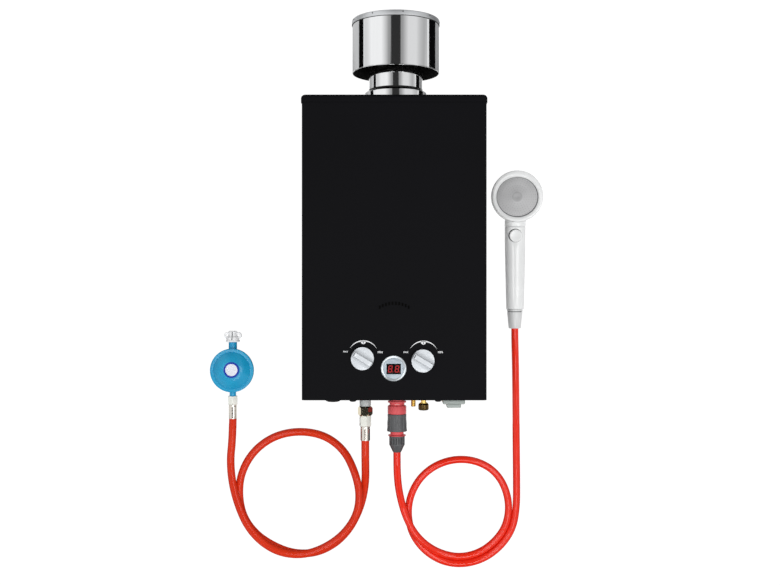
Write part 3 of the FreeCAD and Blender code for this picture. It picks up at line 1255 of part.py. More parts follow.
def handset_head():
    """Domed head shell with the neck that meets the handle."""
    dome = turned_z(HEAD_X, HEAD_Y, (
        (0, 0), (HEAD_BACK_RADIUS, 0), (HEAD_RADIUS * 0.75, HEAD_SIDE_Z * 0.25),
        (HEAD_RADIUS * 0.93, HEAD_SIDE_Z * 0.6), (HEAD_RADIUS, HEAD_SIDE_Z), (HEAD_RADIUS, HEAD_RIM_Z),
        (0, HEAD_RIM_Z)))
    top_half_x, top_half_z = HANDLE_SECTIONS[-1][1:]
    neck_low = ellipse_wire(HANDLE_X, HANDLE_TOP_Y, HANDLE_Z, top_half_x, top_half_z)
    neck_top = ellipse_wire(HEAD_X, NECK_TOP_Y, NECK_TOP_Z, NECK_TOP_HALF_WIDTH, NECK_TOP_HALF_DEPTH)
    neck = Part.makeLoft([neck_low, neck_top], True, False)
    return fuse(dome, neck)


def head_ring():
    low = HEAD_RIM_Z
    outer, inner = HEAD_RADIUS, HEAD_RADIUS - RING_WIDTH
    bevel = RING_HEIGHT * 0.4
    return turned_z(HEAD_X, HEAD_Y, ((inner, low), (outer, low), (outer, low + RING_HEIGHT - bevel),
                                     (outer - bevel * 0.6, low + RING_HEIGHT - bevel * 0.2),
                                     (outer - bevel, low + RING_HEIGHT), (inner, low + RING_HEIGHT)))


def spray_plate():
    low = HEAD_RIM_Z + RING_HEIGHT - PLATE_RECESS - PLATE_THICKNESS
    plate = rod_z(HEAD_X, HEAD_Y, low, low + PLATE_THICKNESS, HEAD_RADIUS - RING_WIDTH - SLIP)
    foot = rod_z(HEAD_X, HEAD_Y, HEAD_RIM_Z, low, HEAD_RADIUS - 2 * RING_WIDTH)
    top = low + PLATE_THICKNESS
    boss = rod_z(HEAD_X, HEAD_Y, top, top + PLATE_BOSS_HEIGHT, PLATE_BOSS_RADIUS)
    return fuse(plate, foot, boss)


def stop_button():
    top = button_top_z()
    button = rod_z(HANDLE_X, BUTTON_Y, button_low_z(), top, BUTTON_RADIUS)
    top_edges = [edge for edge in button.Edges if edge.BoundBox.ZMin > top - 0.01]
    return button.makeFillet(BUTTON_EDGE_RADIUS, top_edges)


def button_spring():
    return coil_spring(HANDLE_X, BUTTON_Y, pocket_floor_z() + SLIP, button_low_z() - SLIP,
                       BUTTON_SPRING_RADIUS, SPRING_WIRE_RADIUS, BUTTON_SPRING_TURNS)


def hose_cone_nut():
    x, z = HANDLE_X, HANDLE_Z
    top = HANDLE_BOTTOM_Y - PLAY
    tip = top - CONE_NUT_LENGTH
    body = turned_y(x, z, ((top, 0), (top, CONE_NUT_TOP_RADIUS),
                           (top - CONE_NUT_BAND, CONE_NUT_TOP_RADIUS),
                           (tip, CONE_NUT_TIP_RADIUS), (tip, 0)))
    spigot_bore = rod_y(x, z, top - CONE_SPIGOT_LENGTH, top + 1, CONE_SPIGOT_RADIUS + PLAY)
    hose_bore = rod_y(x, z, tip - 1, top, SHOWER_HOSE_RADIUS + HOSE_HOLE_GAP)
    return cut(body, spigot_bore, hose_bore)


# ---------------------------------------------------------------- hose routes, chosen by hand
GAS_ROUTE = (
    (-53.8, -357.7, 60.0), (-53.8, -386.0, 60.0), (-53.6, -412.0, 52.5), (-53.8, -435.0, 37.0),
    (-55.0, -457.0, 21.0), (-58.0, -482.0, 10.0), (-66.0, -511.0, 7.0), (-83.0, -542.0, 7.0),
    (-113.0, -568.0, 7.0), (-152.0, -582.5, 7.0), (-193.0, -583.0, 7.0), (-231.0, -569.0, 7.0),
    (-263.0, -544.0, 7.0), (-287.0, -510.0, 7.0), (-298.5, -469.0, 7.0), (-294.0, -427.0, 7.0),
    (-271.0, -386.0, 7.0), (-232.0, -357.0, 7.0), (-184.0, -346.5, 7.0), (-134.0, -354.5, 7.0),
    (-96.0, -382.0, 9.5), (-73.5, -421.0, 19.5), (-66.5, -463.0, 28.8), (-72.0, -505.0, 24.5),
    (-93.0, -544.0, 21.5), (-129.0, -573.0, 21.3), (-172.0, -587.0, 21.3), (-217.0, -583.5, 21.3),
    (-257.0, -563.5, 21.0), (-288.0, -530.0, 20.0), (-305.5, -489.0, 18.0), (-312.0, -445.0, 15.0),
    (-310.8, -402.0, 13.0), (-308.3, -362.0, 18.0), (-308.3, -322.3, 18.0))

SHOWER_ROUTE = (
    (5.6, -360.6, 60.0), (5.6, -391.0, 60.0), (6.0, -421.0, 51.5), (8.5, -450.0, 38.5),
    (14.0, -479.0, 27.5), (22.5, -508.0, 22.0), (37.0, -538.0, 20.5), (59.0, -563.0, 16.2),
    (89.0, -582.5, 8.5), (127.0, -591.0, 6.5), (166.0, -584.0, 6.5), (197.0, -561.5, 6.5),
    (217.0, -528.0, 6.5), (222.5, -488.5, 6.5), (212.0, -449.0, 6.5), (189.0, -418.0, 6.5),
    (154.0, -400.5, 6.5), (115.0, -398.5, 6.5), (78.5, -411.0, 6.5), (49.5, -437.5, 6.5),
    (32.5, -471.5, 6.5), (28.0, -509.0, 6.5), (36.0, -546.0, 6.5), (60.0, -579.0, 6.5),
    (96.0, -600.0, 6.5), (137.0, -604.8, 6.5), (177.0, -594.0, 6.5), (209.0, -568.5, 6.5),
    (229.5, -533.0, 6.5), (237.0, -492.0, 6.5), (237.8, -440.0, 6.5), (237.0, -375.0, 6.5),
    (235.2, -310.0, 6.5), (233.6, -255.0, 7.5), (231.6, -211.0, 12.5), (231.6, -168.0, 15.5),
    (231.6, -124.3, 15.5))


def main():
    os.makedirs("parts", exist_ok=True)
    export("back_panel", back_panel())
    export("front_cover", front_cover())
    export("top_cover", top_cover())
    export("bottom_plate", bottom_plate())
    export("view_window", view_window())
    export("cover_screws", *cover_screws())
    export("rubber_grommets", *rubber_grommets())
    export("flue_collar", flue_collar())
    export("exhaust_pipe", exhaust_pipe())
    export("rain_cap_drum", rain_cap_drum())
    export("rain_cap_lid", rain_cap_lid())
    export("rain_cap_brackets", *rain_cap_brackets())
    export("flue_hood", flue_hood())
    export("heat_exchanger", heat_exchanger())
    export("combustion_chamber", combustion_chamber())
    export("electrodes", *electrodes())
    export("burner_rack", *burner_rack())
    export("gas_manifold", gas_manifold())
    export("water_pipes", *water_pipes())
    export("gas_valve", gas_valve())
    export("water_valve", water_valve())
    export("valve_diaphragm", valve_diaphragm())
    export("push_rod", push_rod())
    export("microswitch", microswitch())
    export("microswitch_lever", microswitch_lever())
    export("igniter_module", igniter_module())
    export("heat_spindle", spindle(HEAT_KNOB_X, heat_knob_y))
    export("heat_knob", knob(HEAT_KNOB_X, heat_knob_y, HEAT_KNOB_ANGLE))
    export("flow_spindle", spindle(FLOW_KNOB_X, flow_knob_y))
    export("flow_knob", knob(FLOW_KNOB_X, flow_knob_y, FLOW_KNOB_ANGLE))
    export("display_bezel", display_bezel())
    export("display_module", display_module())
    export("battery_box", battery_box())
    export("battery_drawer", battery_drawer())
    export("batteries", *batteries())
    export("gas_inlet_fitting", gas_inlet_fitting())
    export("water_nipples", *water_nipples())
    export("relief_valve_body", relief_valve_body())
    export("relief_valve_cap", relief_valve_cap())
    export("drain_stub", drain_stub())
    export("gas_union_nut", gas_union_nut())
    export("gas_hose_fittings", *gas_hose_fittings())
    export("gas_hose", hose("gas_hose", GAS_ROUTE, GAS_HOSE_RADIUS))
    export("regulator_body", regulator_body())
    export("regulator_cover", regulator_cover())
    export("regulator_diaphragm", regulator_diaphragm())
    export("regulator_spring", regulator_spring())
    export("cylinder_nut", cylinder_nut())
    export("tap_adaptor", tap_adaptor())
    export("release_sleeve", release_sleeve())
    export("connector_core", connector_core())
    export("connector_nut", connector_nut())
    export("shower_hose", hose("shower_hose", SHOWER_ROUTE, SHOWER_HOSE_RADIUS))
    export("hose_cone_nut", hose_cone_nut())
    export("handset_handle", handset_handle())
    export("handset_head", handset_head())
    export("head_ring", head_ring())
    export("spray_plate", spray_plate())
    export("stop_button", stop_button())
    export("button_spring", button_spring())
    print(len(written), "nodes")


written = []
main()
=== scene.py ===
"""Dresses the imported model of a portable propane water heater.

The cabinet lies on its back with its gas line and regulator on the left and its shower line and
handset on the right. Pieces are shaped in millimetres at the origin and then set down in metres in
the model's own frame: +Z out of the front cover, +Y towards the flue cap, +X to the battery side.
"""
import json
import logging
import math
from contextlib import contextmanager
from dataclasses import dataclass
from enum import Enum
from typing import Any, Callable, Iterator, Sequence

import bpy
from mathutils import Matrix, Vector

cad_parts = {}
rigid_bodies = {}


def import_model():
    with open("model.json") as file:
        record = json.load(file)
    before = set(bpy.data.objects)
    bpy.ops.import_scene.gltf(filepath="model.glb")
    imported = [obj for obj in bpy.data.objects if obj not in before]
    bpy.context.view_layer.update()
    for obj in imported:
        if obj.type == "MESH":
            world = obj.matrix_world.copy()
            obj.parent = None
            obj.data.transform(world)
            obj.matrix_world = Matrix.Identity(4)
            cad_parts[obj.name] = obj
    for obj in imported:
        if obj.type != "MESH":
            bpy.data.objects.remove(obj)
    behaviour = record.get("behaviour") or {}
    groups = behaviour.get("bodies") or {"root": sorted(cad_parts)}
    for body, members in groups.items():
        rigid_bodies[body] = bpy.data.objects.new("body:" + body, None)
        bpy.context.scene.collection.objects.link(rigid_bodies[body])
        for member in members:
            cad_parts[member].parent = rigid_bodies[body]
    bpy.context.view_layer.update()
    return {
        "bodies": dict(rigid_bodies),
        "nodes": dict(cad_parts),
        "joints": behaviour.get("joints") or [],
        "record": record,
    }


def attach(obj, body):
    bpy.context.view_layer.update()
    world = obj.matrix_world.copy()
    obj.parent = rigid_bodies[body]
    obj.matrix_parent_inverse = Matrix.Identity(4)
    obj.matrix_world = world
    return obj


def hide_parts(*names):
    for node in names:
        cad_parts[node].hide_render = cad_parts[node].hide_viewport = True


log = logging.getLogger("heater")

MM = 0.001

Piece = bpy.types.Object
Pair = tuple[float, float]
Point = tuple[float, float, float]
Tone = tuple[int, int, int]
Profile = Sequence[Pair]
Ring = tuple[float, float, float, float, float]
Test = Callable[[Vector], bool]


# ------------------------------------------------------------------------------ the work bench
class Axis(Enum):
    """Which way a piece shaped along local Z is stood up; the value is its turn."""

    X = (0.0, math.pi / 2, 0.0)
    Y = (-math.pi / 2, 0.0, 0.0)
    Z = (0.0, 0.0, 0.0)


class Cut(Enum):
    """How one solid works on another."""

    AWAY = "DIFFERENCE"
    COMMON = "INTERSECT"
    TOGETHER = "UNION"


def alone(piece: Piece) -> None:
    """Makes a piece active, and the only one selected."""
    bpy.ops.object.select_all(action="DESELECT")
    piece.select_set(True)
    bpy.context.view_layer.objects.active = piece


@contextmanager
def editing(piece: Piece, mode: str = "VERT") -> Iterator[None]:
    """Opens a piece in edit mode and closes it again.

    Args:
        piece: The piece to shape.
        mode: What is selected: VERT, EDGE or FACE.
    """
    alone(piece)
    bpy.context.tool_settings.mesh_select_mode = (mode == "VERT", mode == "EDGE", mode == "FACE")
    bpy.ops.object.mode_set(mode="EDIT")
    yield
    bpy.ops.object.mode_set(mode="OBJECT")


def pick(piece: Piece, test: Test) -> None:
    """Selects the points of a piece that pass a test, and nothing else."""
    mesh = piece.data
    mesh.polygons.foreach_set("select", [False] * len(mesh.polygons))
    mesh.edges.foreach_set("select", [False] * len(mesh.edges))
    mesh.vertices.foreach_set("select", [bool(test(point.co)) for point in mesh.vertices])


def lofted(name: str, rings: Sequence[Ring], sides: int = 96, closed: bool = False) -> Piece:
    """Extrudes a circle through a row of rings along Z.

    Args:
        name: Name of the new piece.
        rings: Half width, half depth, height, and shift in X and Y of each ring.
        sides: Sides of the circle.
        closed: Bridges the last ring to the first, where False caps both ends.

    Returns:
        The piece, closed and with its faces pointing out.
    """
    wide, deep, place, shift_x, shift_y = rings[0]
    bpy.ops.object.select_all(action="DESELECT")
    bpy.ops.mesh.primitive_circle_add(vertices=sides, radius=1.0)
    piece = bpy.context.active_object
    piece.name = name
    with editing(piece):
        bpy.ops.mesh.select_all(action="SELECT")
        bpy.ops.transform.resize(value=(wide, deep, 1.0), center_override=(0.0, 0.0, 0.0))
        bpy.ops.transform.translate(value=(shift_x, shift_y, place))
        for ring in rings[1:]:
            step = (ring[3] - shift_x, ring[4] - shift_y, ring[2] - place)
            bpy.ops.mesh.extrude_region_move(TRANSFORM_OT_translate={"value": step})
            bpy.ops.transform.resize(value=(ring[0] / wide, ring[1] / deep, 1.0),
                                     center_override=(ring[3], ring[4], ring[2]))
            wide, deep, place, shift_x, shift_y = ring
        bpy.ops.mesh.select_all(action="DESELECT")
        bpy.ops.mesh.select_non_manifold()
        if closed:
            bpy.ops.mesh.bridge_edge_loops()
        else:
            bpy.ops.mesh.fill_holes(sides=0)
        bpy.ops.mesh.select_all(action="SELECT")
        bpy.ops.mesh.normals_make_consistent(inside=False)
    return piece


def turned(name: str, profile: Profile, sides: int = 96, closed: bool = False) -> Piece:
    """Turns a profile of radius and height about Z; see lofted for the rest."""
    rings = [(radius, radius, place, 0.0, 0.0) for radius, place in profile]
    return lofted(name, rings, sides, closed)


def rod(name: str, radius: float, low: float, high: float, sides: int) -> Piece:
    """Makes a plain cylinder about Z between two heights."""
    return turned(name, ((radius, low), (radius, high)), sides)


def block(name: str, low: Point, high: Point) -> Piece:
    """Sets a box between two corners."""
    centre = tuple((a + b) / 2 for a, b in zip(low, high))
    bpy.ops.object.select_all(action="DESELECT")
    bpy.ops.mesh.primitive_cube_add(size=1.0)
    piece = bpy.context.active_object
    piece.name = name
    with editing(piece):
        bpy.ops.mesh.select_all(action="SELECT")
        bpy.ops.transform.resize(value=tuple(b - a for a, b in zip(low, high)),
                                 center_override=(0.0, 0.0, 0.0))
        bpy.ops.transform.translate(value=centre)
    return piece


def tool(piece: Piece, modifier: str, **settings: Any) -> Piece:
    """Adds a modifier to a piece, sets it and applies it."""
    alone(piece)
    added = piece.modifiers.new(modifier.title(), modifier)
    for key, value in settings.items():
        setattr(added, key, value)
    bpy.ops.object.modifier_apply(modifier=added.name)
    return piece


def soften(piece: Piece, width: float, segments: int = 2, angle: float = 35.0) -> Piece:
    """Rounds the edges of a piece that are sharper than an angle."""
    return tool(piece, "BEVEL", width=width, segments=segments, limit_method="ANGLE",
                angle_limit=math.radians(angle), harden_normals=False)


def carve(piece: Piece, other: Piece, how: Cut = Cut.AWAY) -> Piece:
    """Works one solid on another, and uses the other up."""
    tool(piece, "BOOLEAN", object=other, operation=how.value, solver="EXACT")
    bpy.data.objects.remove(other)
    return piece


def joined(pieces: Sequence[Piece]) -> Piece:
    """Joins pieces into the first of them."""
    alone(pieces[0])
    for piece in pieces[1:]:
        piece.select_set(True)
    bpy.ops.object.join()
    return pieces[0]


def copied(piece: Piece, name: str) -> Piece:
    """Copies a piece with a mesh of its own."""
    twin = piece.copy()
    twin.data = piece.data.copy()
    twin.name = name
    bpy.context.scene.collection.objects.link(twin)
    return twin


def moved(piece: Piece, shift: Point = (0.0, 0.0, 0.0), turn: Point = (0.0, 0.0, 0.0)) -> Piece:
    """Turns a piece about the origin and then shifts it, in its mesh."""
    alone(piece)
    piece.rotation_euler = turn
    piece.location = shift
    bpy.ops.object.transform_apply(location=True, rotation=True, scale=True)
    return piece


def around(piece: Piece, count: int) -> Piece:
    """Repeats a piece evenly about Z, in its own mesh."""
    with editing(piece):
        bpy.ops.mesh.select_all(action="SELECT")
        bpy.ops.mesh.spin(steps=count, dupli=True, angle=2 * math.pi, use_normal_flip=False,
                          center=(0.0, 0.0, 0.0), axis=(0.0, 0.0, 1.0))
        bpy.ops.mesh.select_all(action="SELECT")
        bpy.ops.mesh.remove_doubles(threshold=0.0001)
    return piece


def hexagon(name: str, flats: float, low: float, high: float, turn: float = 0.0,
            chamfer: float = 0.12) -> Piece:
    """Makes a hexagon along Z with its corners turned off at both ends.

    Args:
        name: Name of the new piece.
        flats: Width across its flats.
        low: Lower end.
        high: Upper end.
        turn: Turn about Z, in degrees.
        chamfer: Depth of the turned corners, as a share of the flats.

    Returns:
        The hexagon.
    """
    corner = flats / math.sqrt(3)
    piece = rod(name, corner, low, high, 6)
    moved(piece, turn=(0.0, 0.0, math.radians(turn)))
    cut, drop = flats / 2 * 0.98, flats * chamfer
    blank = turned("blank", ((cut, low), (corner * 1.02, low + drop), (corner * 1.02, high - drop),
                             (cut, high)), sides=72)
    return soften(carve(piece, blank, Cut.COMMON), flats * 0.012, 2, 25.0)


def grooved(piece: Piece, count: int, share: float, span: Pair, scale: float,
            phase: float = 0.0) -> Piece:
    """Presses evenly spaced strips of a turned piece towards its axis.

    Args:
        piece: A piece turned about Z.
        count: Number of strips.
        share: Width of a strip, as a share of its spacing.
        span: Lower and upper end of the strips.
        scale: Radius of a strip's floor over the radius of the piece.
        phase: Turn of the strips, as a share of their spacing.

    Returns:
        The same piece.
    """
    slack = 0.01

    def in_strip(point: Vector) -> bool:
        """True for a point in one of the strips."""
        turn = math.atan2(point.y, point.x) / (2 * math.pi) * count + phase
        return span[0] - slack < point.z < span[1] + slack and turn % 1.0 < share

    pick(piece, in_strip)
    with editing(piece):
        bpy.ops.transform.resize(value=(scale, scale, 1.0), center_override=(0.0, 0.0, 0.0))
    return piece


def thread(radius: float, depth: float, low: float, high: float, pitch: float) -> list[Pair]:
    """Profile of the rings of a thread, from its low end to its high end."""
    turns = max(1, round((high - low) / pitch))
    step = (high - low) / turns
    points = []
    for index in range(turns):
        foot = low + index * step
        points += [(radius - depth, foot), (radius, foot + step * 0.3), (radius, foot + step * 0.6)]
    return points + [(radius - depth, high)]


def drilled(name: str, outline: Profile, bore: float, sides: int = 96) -> Piece:
    """Turns an outline about Z with a plain bore through it."""
    low, high = outline[0][1], outline[-1][1]
    return turned(name, [(bore, low), *outline, (bore, high)], sides, closed=True)


def lettering(name: str, words: str, width: float, thickness: float) -> Piece:
    """Makes flat raised lettering of a given width, centred on the origin."""
    bpy.ops.object.select_all(action="DESELECT")
    bpy.ops.object.text_add()
    piece = bpy.context.active_object
    piece.name = name
    piece.data.body = words
    piece.data.align_x = "CENTER"
    piece.data.align_y = "CENTER"
    piece.data.extrude = thickness / 2
    piece.data.offset = 0.02
    bpy.ops.object.convert(target="MESH")
    piece = bpy.context.active_object
    size = width / piece.dimensions.x
    with editing(piece):
        bpy.ops.mesh.select_all(action="SELECT")
        bpy.ops.transform.resize(value=(size, size, 1.0), center_override=(0.0, 0.0, 0.0))
    return piece


def set_down(piece: Piece, at: Point = (0.0, 0.0, 0.0), axis: Axis = Axis.Z,
             smooth: float = 32.0) -> Piece:
    """Puts a finished piece in its place, in metres.

    Args:
        piece: The piece, in millimetres at the origin.
        at: Its place in millimetres; along its own axis its heights already hold it.
        axis: The way it stands.
        smooth: Edges under this angle, in degrees, are shaded smooth.

    Returns:
        The same piece, with its place in its mesh.
    """
    alone(piece)
    piece.rotation_euler = axis.value
    piece.location = [value * MM for value in at]
    piece.scale = (MM, MM, MM)
    bpy.ops.object.transform_apply(location=True, rotation=True, scale=True)
    bpy.ops.object.shade_smooth_by_angle(angle=math.radians(smooth))
    return piece


# ------------------------------------------------------------------------------ finishes
CLOUD_DETAIL = 4.0
GRAIN_DETAIL = 2.0
CLOUD_SPAN = (0.32, 0.68)


class Grain(Enum):
    """How a finish's fine pattern runs; the value stretches its coordinates."""

    EVEN = (1.0, 1.0, 1.0)
    ALONG_X = (0.03, 1.0, 1.0)
    ALONG_Y = (1.0, 0.03, 1.0)


def linear(tone: Tone) -> tuple[float, float, float, float]:
    """Turns an 8-bit screen tone into a linear colour."""
    parts = [value / 255 for value in tone]
    return (*[v / 12.92 if v <= 0.04045 else ((v + 0.055) / 1.055) ** 2.4 for v in parts], 1.0)


def surface_group() -> bpy.types.NodeTree:
    """Builds, once, the group that clouds and grains a surface.

    Returns:
        The node group, which puts out a colour, a roughness and a height.
    """
    name = "Clouded surface"
    if name in bpy.data.node_groups:
        return bpy.data.node_groups[name]
    group = bpy.data.node_groups.new(name, "ShaderNodeTree")
    sockets = [("Vector", "NodeSocketVector"), ("Tone", "NodeSocketColor"),
               ("Other Tone", "NodeSocketColor"), ("Cloud Scale", "NodeSocketFloat"),
               ("Grain Scale", "NodeSocketFloat"), ("Grain Share", "NodeSocketFloat"),
               ("Rough Low", "NodeSocketFloat"), ("Rough High", "NodeSocketFloat")]
    for title, kind in sockets:
        group.interface.new_socket(title, in_out="INPUT", socket_type=kind)
    for title, kind in (("Colour", "NodeSocketColor"), ("Roughness", "NodeSocketFloat"),
                        ("Height", "NodeSocketFloat")):
        group.interface.new_socket(title, in_out="OUTPUT", socket_type=kind)
    nodes, links = group.nodes, group.links
    given, out = nodes.new("NodeGroupInput"), nodes.new("NodeGroupOutput")
    cloud, grain = nodes.new("ShaderNodeTexNoise"), nodes.new("ShaderNodeTexNoise")
    cloud.inputs["Detail"].default_value = CLOUD_DETAIL
    grain.inputs["Detail"].default_value = GRAIN_DETAIL
    for texture, scale in ((cloud, "Cloud Scale"), (grain, "Grain Scale")):
        links.new(given.outputs["Vector"], texture.inputs["Vector"])
        links.new(given.outputs[scale], texture.inputs["Scale"])
    spread = nodes.new("ShaderNodeMapRange")
    for socket, value in zip(("From Min", "From Max"), CLOUD_SPAN):
        spread.inputs[socket].default_value = value
    links.new(cloud.outputs["Fac"], spread.inputs["Value"])
    both = nodes.new("ShaderNodeMix")
    links.new(given.outputs["Grain Share"], both.inputs["Factor"])
    links.new(spread.outputs["Result"], both.inputs["A"])
    links.new(grain.outputs["Fac"], both.inputs["B"])
    colour = nodes.new("ShaderNodeMix")
    colour.data_type = "RGBA"
    links.new(both.outputs["Result"], colour.inputs["Factor"])
    links.new(given.outputs["Tone"], colour.inputs["A"])
    links.new(given.outputs["Other Tone"], colour.inputs["B"])
    rough = nodes.new("ShaderNodeMapRange")
    links.new(both.outputs["Result"], rough.inputs["Value"])
    links.new(given.outputs["Rough Low"], rough.inputs["To Min"])
    links.new(given.outputs["Rough High"], rough.inputs["To Max"])
    colours = [socket for socket in colour.outputs if socket.type == "RGBA"]
    links.new(colours[0], out.inputs["Colour"])
    links.new(rough.outputs["Result"], out.inputs["Roughness"])
    links.new(grain.outputs["Fac"], out.inputs["Height"])
    return group


@dataclass(frozen=True)
class Finish:
    """A surface finish. Tones are 8-bit screen values, scales are per metre."""

    name: str
    tone: Tone
    other: Tone
    rough: Pair = (0.3, 0.4)
    metallic: float = 0.0
    specular: float = 0.5
    coat: float = 0.0
    coat_rough: float = 0.08
    cloud_scale: float = 22.0
    grain_scale: float = 900.0
    grain_share: float = 0.35
    grain: Grain = Grain.EVEN
    bump: float = 0.15
    bump_height: float = 0.00008
    glow: float = 0.0

    def material(self) -> bpy.types.Material:
        """Returns the finish's material, which is built the first time."""
        if self.name in bpy.data.materials:
            return bpy.data.materials[self.name]
        material = bpy.data.materials.new(self.name)
        material.use_nodes = True
        nodes, links = material.node_tree.nodes, material.node_tree.links
        shader = nodes["Principled BSDF"]
        for socket, value in (("Metallic", self.metallic), ("Specular IOR Level", self.specular),
                              ("Coat Weight", self.coat), ("Coat Roughness", self.coat_rough),
                              ("Emission Strength", self.glow)):
            shader.inputs[socket].default_value = value
        place, mapping = nodes.new("ShaderNodeTexCoord"), nodes.new("ShaderNodeMapping")
        mapping.inputs["Scale"].default_value = self.grain.value
        surface = nodes.new("ShaderNodeGroup")
        surface.node_tree = surface_group()
        for socket, value in (("Tone", linear(self.tone)), ("Other Tone", linear(self.other)),
                              ("Cloud Scale", self.cloud_scale), ("Grain Scale", self.grain_scale),
                              ("Grain Share", self.grain_share), ("Rough Low", self.rough[0]),
                              ("Rough High", self.rough[1])):
            surface.inputs[socket].default_value = value
        bump = nodes.new("ShaderNodeBump")
        bump.inputs["Strength"].default_value = self.bump
        bump.inputs["Distance"].default_value = self.bump_height
        links.new(place.outputs["Object"], mapping.inputs["Vector"])
        links.new(mapping.outputs["Vector"], surface.inputs["Vector"])
        links.new(surface.outputs["Colour"], shader.inputs["Base Color"])
        links.new(surface.outputs["Roughness"], shader.inputs["Roughness"])
        links.new(surface.outputs["Height"], bump.inputs["Height"])
        links.new(bump.outputs["Normal"], shader.inputs["Normal"])
        if self.glow:
            links.new(surface.outputs["Colour"], shader.inputs["Emission Color"])
        return material


POWDER_BLACK = Finish("Black powder coat", (14, 14, 16), (17, 17, 20), (0.5, 0.62), specular=0.04,
                      cloud_scale=5.0, grain_scale=1400.0, bump=0.35)
MIRROR_STEEL = Finish("Mirror steel", (219, 220, 221), (229, 230, 231), (0.05, 0.09), 1.0,
                      grain=Grain.ALONG_Y, grain_scale=500.0, bump=0.02)
BRUSHED_STEEL = Finish("Brushed steel", (206, 208, 210), (219, 221, 223), (0.44, 0.54), 1.0,
                       grain=Grain.ALONG_X, grain_scale=700.0, bump=0.04)
# Dark steel: painted shade inside the pipe and drum, under the lid and at the collar's and lid's
# joints; the lid's rivets are dark steel too.
DARK_STEEL_PAINTED_SHADE = Finish("Dark steel painted shade", (26, 26, 26), (36, 35, 34), (0.5, 0.7), 0.3, specular=0.2)
BURNER_STEEL = Finish("Burner steel", (120, 118, 116), (160, 158, 155), (0.3, 0.45), 1.0,
                      grain=Grain.ALONG_X)
GALVANISED = Finish("Galvanised sheet", (150, 153, 157), (186, 189, 192), (0.3, 0.5), 0.9,
                    cloud_scale=60.0, grain_share=0.15)
COPPER = Finish("Copper", (178, 100, 66), (205, 128, 92), (0.22, 0.4), 1.0)
CERAMIC = Finish("Glazed ceramic", (226, 224, 214), (236, 234, 226), (0.15, 0.25), coat=0.4)
CAST_ALUMINIUM = Finish("Cast aluminium", (158, 160, 163), (182, 184, 187), (0.4, 0.55), 0.9,
                        grain_scale=1500.0, bump=0.5)
BRASS = Finish("Brass", (222, 184, 98), (240, 214, 140), (0.16, 0.3), 1.0)
BRONZE = Finish("Browned brass", (70, 56, 34), (120, 98, 60), (0.2, 0.36), 1.0, grain_share=0.2)
NICKEL = Finish("Nickel plate", (205, 199, 190), (224, 219, 210), (0.1, 0.2), 1.0)
UNION_PLATE = Finish("Warm nickel plate", (206, 194, 166), (224, 214, 190), (0.05, 0.09), 1.0)
FERRULE_PLATE = Finish("Crimped ferrule plate", (204, 198, 189), (219, 214, 206), (0.12, 0.17), 1.0,
                       grain=Grain.ALONG_Y, bump=0.0)
ZINC_WHITE = Finish("Bright zinc plate", (240, 241, 232), (248, 248, 241), (0.3, 0.42), 0.1)
THREAD_ZINC = Finish("Zinc thread", (200, 205, 204), (220, 223, 222), (0.35, 0.5))
SPRING_STEEL = Finish("Spring steel", (140, 140, 142), (176, 176, 178), (0.25, 0.35), 1.0)
BLACK_PLASTIC = Finish("Black moulded plastic", (24, 24, 25), (34, 34, 35), (0.4, 0.5), bump=0.3)
BLACK_RUBBER = Finish("Black rubber", (15, 15, 16), (24, 24, 25), (0.6, 0.75), specular=0.3,
                      bump=0.3)
PEARL = Finish("Pearl plastic", (210, 215, 221), (225, 229, 233), (0.26, 0.36), coat=0.25,
               cloud_scale=35.0)
SILVER_PAINT = Finish("Silver paint", (156, 170, 182), (176, 187, 195), (0.3, 0.42), 0.1, coat=0.1)
SILVER_RIM = Finish("Silvered rim", (172, 179, 184), (190, 196, 200), (0.22, 0.3), 0.4)
BLACK_GLASS = Finish("Black display glass", (7, 7, 8), (12, 12, 13), (0.05, 0.1), coat=0.5,
                     bump=0.01)
DIGIT_RED = Finish("Lit segments", (158, 8, 16), (184, 16, 24), (0.3, 0.4), specular=0.1, glow=0.3)
DIGIT_DARK = Finish("Segment frames", (84, 66, 68), (104, 84, 84), (0.3, 0.4), specular=0.2)
PRINT_WHITE = Finish("White print", (234, 236, 238), (244, 245, 246), (0.45, 0.55), bump=0.05)
MARK_GREY = Finish("Grey mark", (60, 64, 68), (84, 88, 92), (0.4, 0.5), bump=0.05)
GREY_PLASTIC = Finish("Light grey plastic", (162, 171, 167), (177, 185, 181), (0.35, 0.5),
                      bump=0.25)
CELL_JACKET = Finish("Cell jacket", (60, 66, 74), (76, 82, 90), (0.25, 0.35), coat=0.3)
MICA = Finish("Smoked mica", (8, 8, 8), (13, 12, 11), (0.5, 0.6), specular=0.0)
GAS_RUBBER = Finish("Orange gas hose", (213, 46, 18), (224, 58, 26), (0.34, 0.44), specular=0.04,
                    coat=0.3, grain_scale=1800.0)
SHOWER_PVC = Finish("Red shower hose", (235, 42, 22), (243, 51, 28), (0.2, 0.28), specular=0.04,
                    coat=0.55, coat_rough=0.06, bump=0.05)
REGULATOR_BLUE = Finish("Blue enamel", (8, 144, 194), (44, 172, 214), (0.3, 0.4), specular=0.25,
                        coat=0.2,
                        grain_scale=2200.0, bump=0.3)
BADGE_BLUE = Finish("Badge blue", (10, 48, 160), (18, 60, 176), (0.25, 0.35), specular=0.2)
BADGE_WHITE = Finish("Badge white", (226, 229, 242), (236, 238, 246), (0.35, 0.45), coat=0.1)
CAST_ZINC = Finish("Cast zinc", (240, 241, 243), (248, 249, 250), (0.34, 0.46), bump=0.1)
RED_PLASTIC = Finish("Red moulded plastic", (220, 82, 88), (232, 100, 104), (0.3, 0.42),
                     specular=0.25,
                     bump=0.2)
PALE_RED = Finish("Worn red plastic", (232, 140, 140), (240, 160, 158), (0.4, 0.5), bump=0.1)
DARK_GREY = Finish("Dark grey plastic", (76, 77, 79), (92, 93, 95), (0.32, 0.45), specular=0.45,
                   bump=0.3)
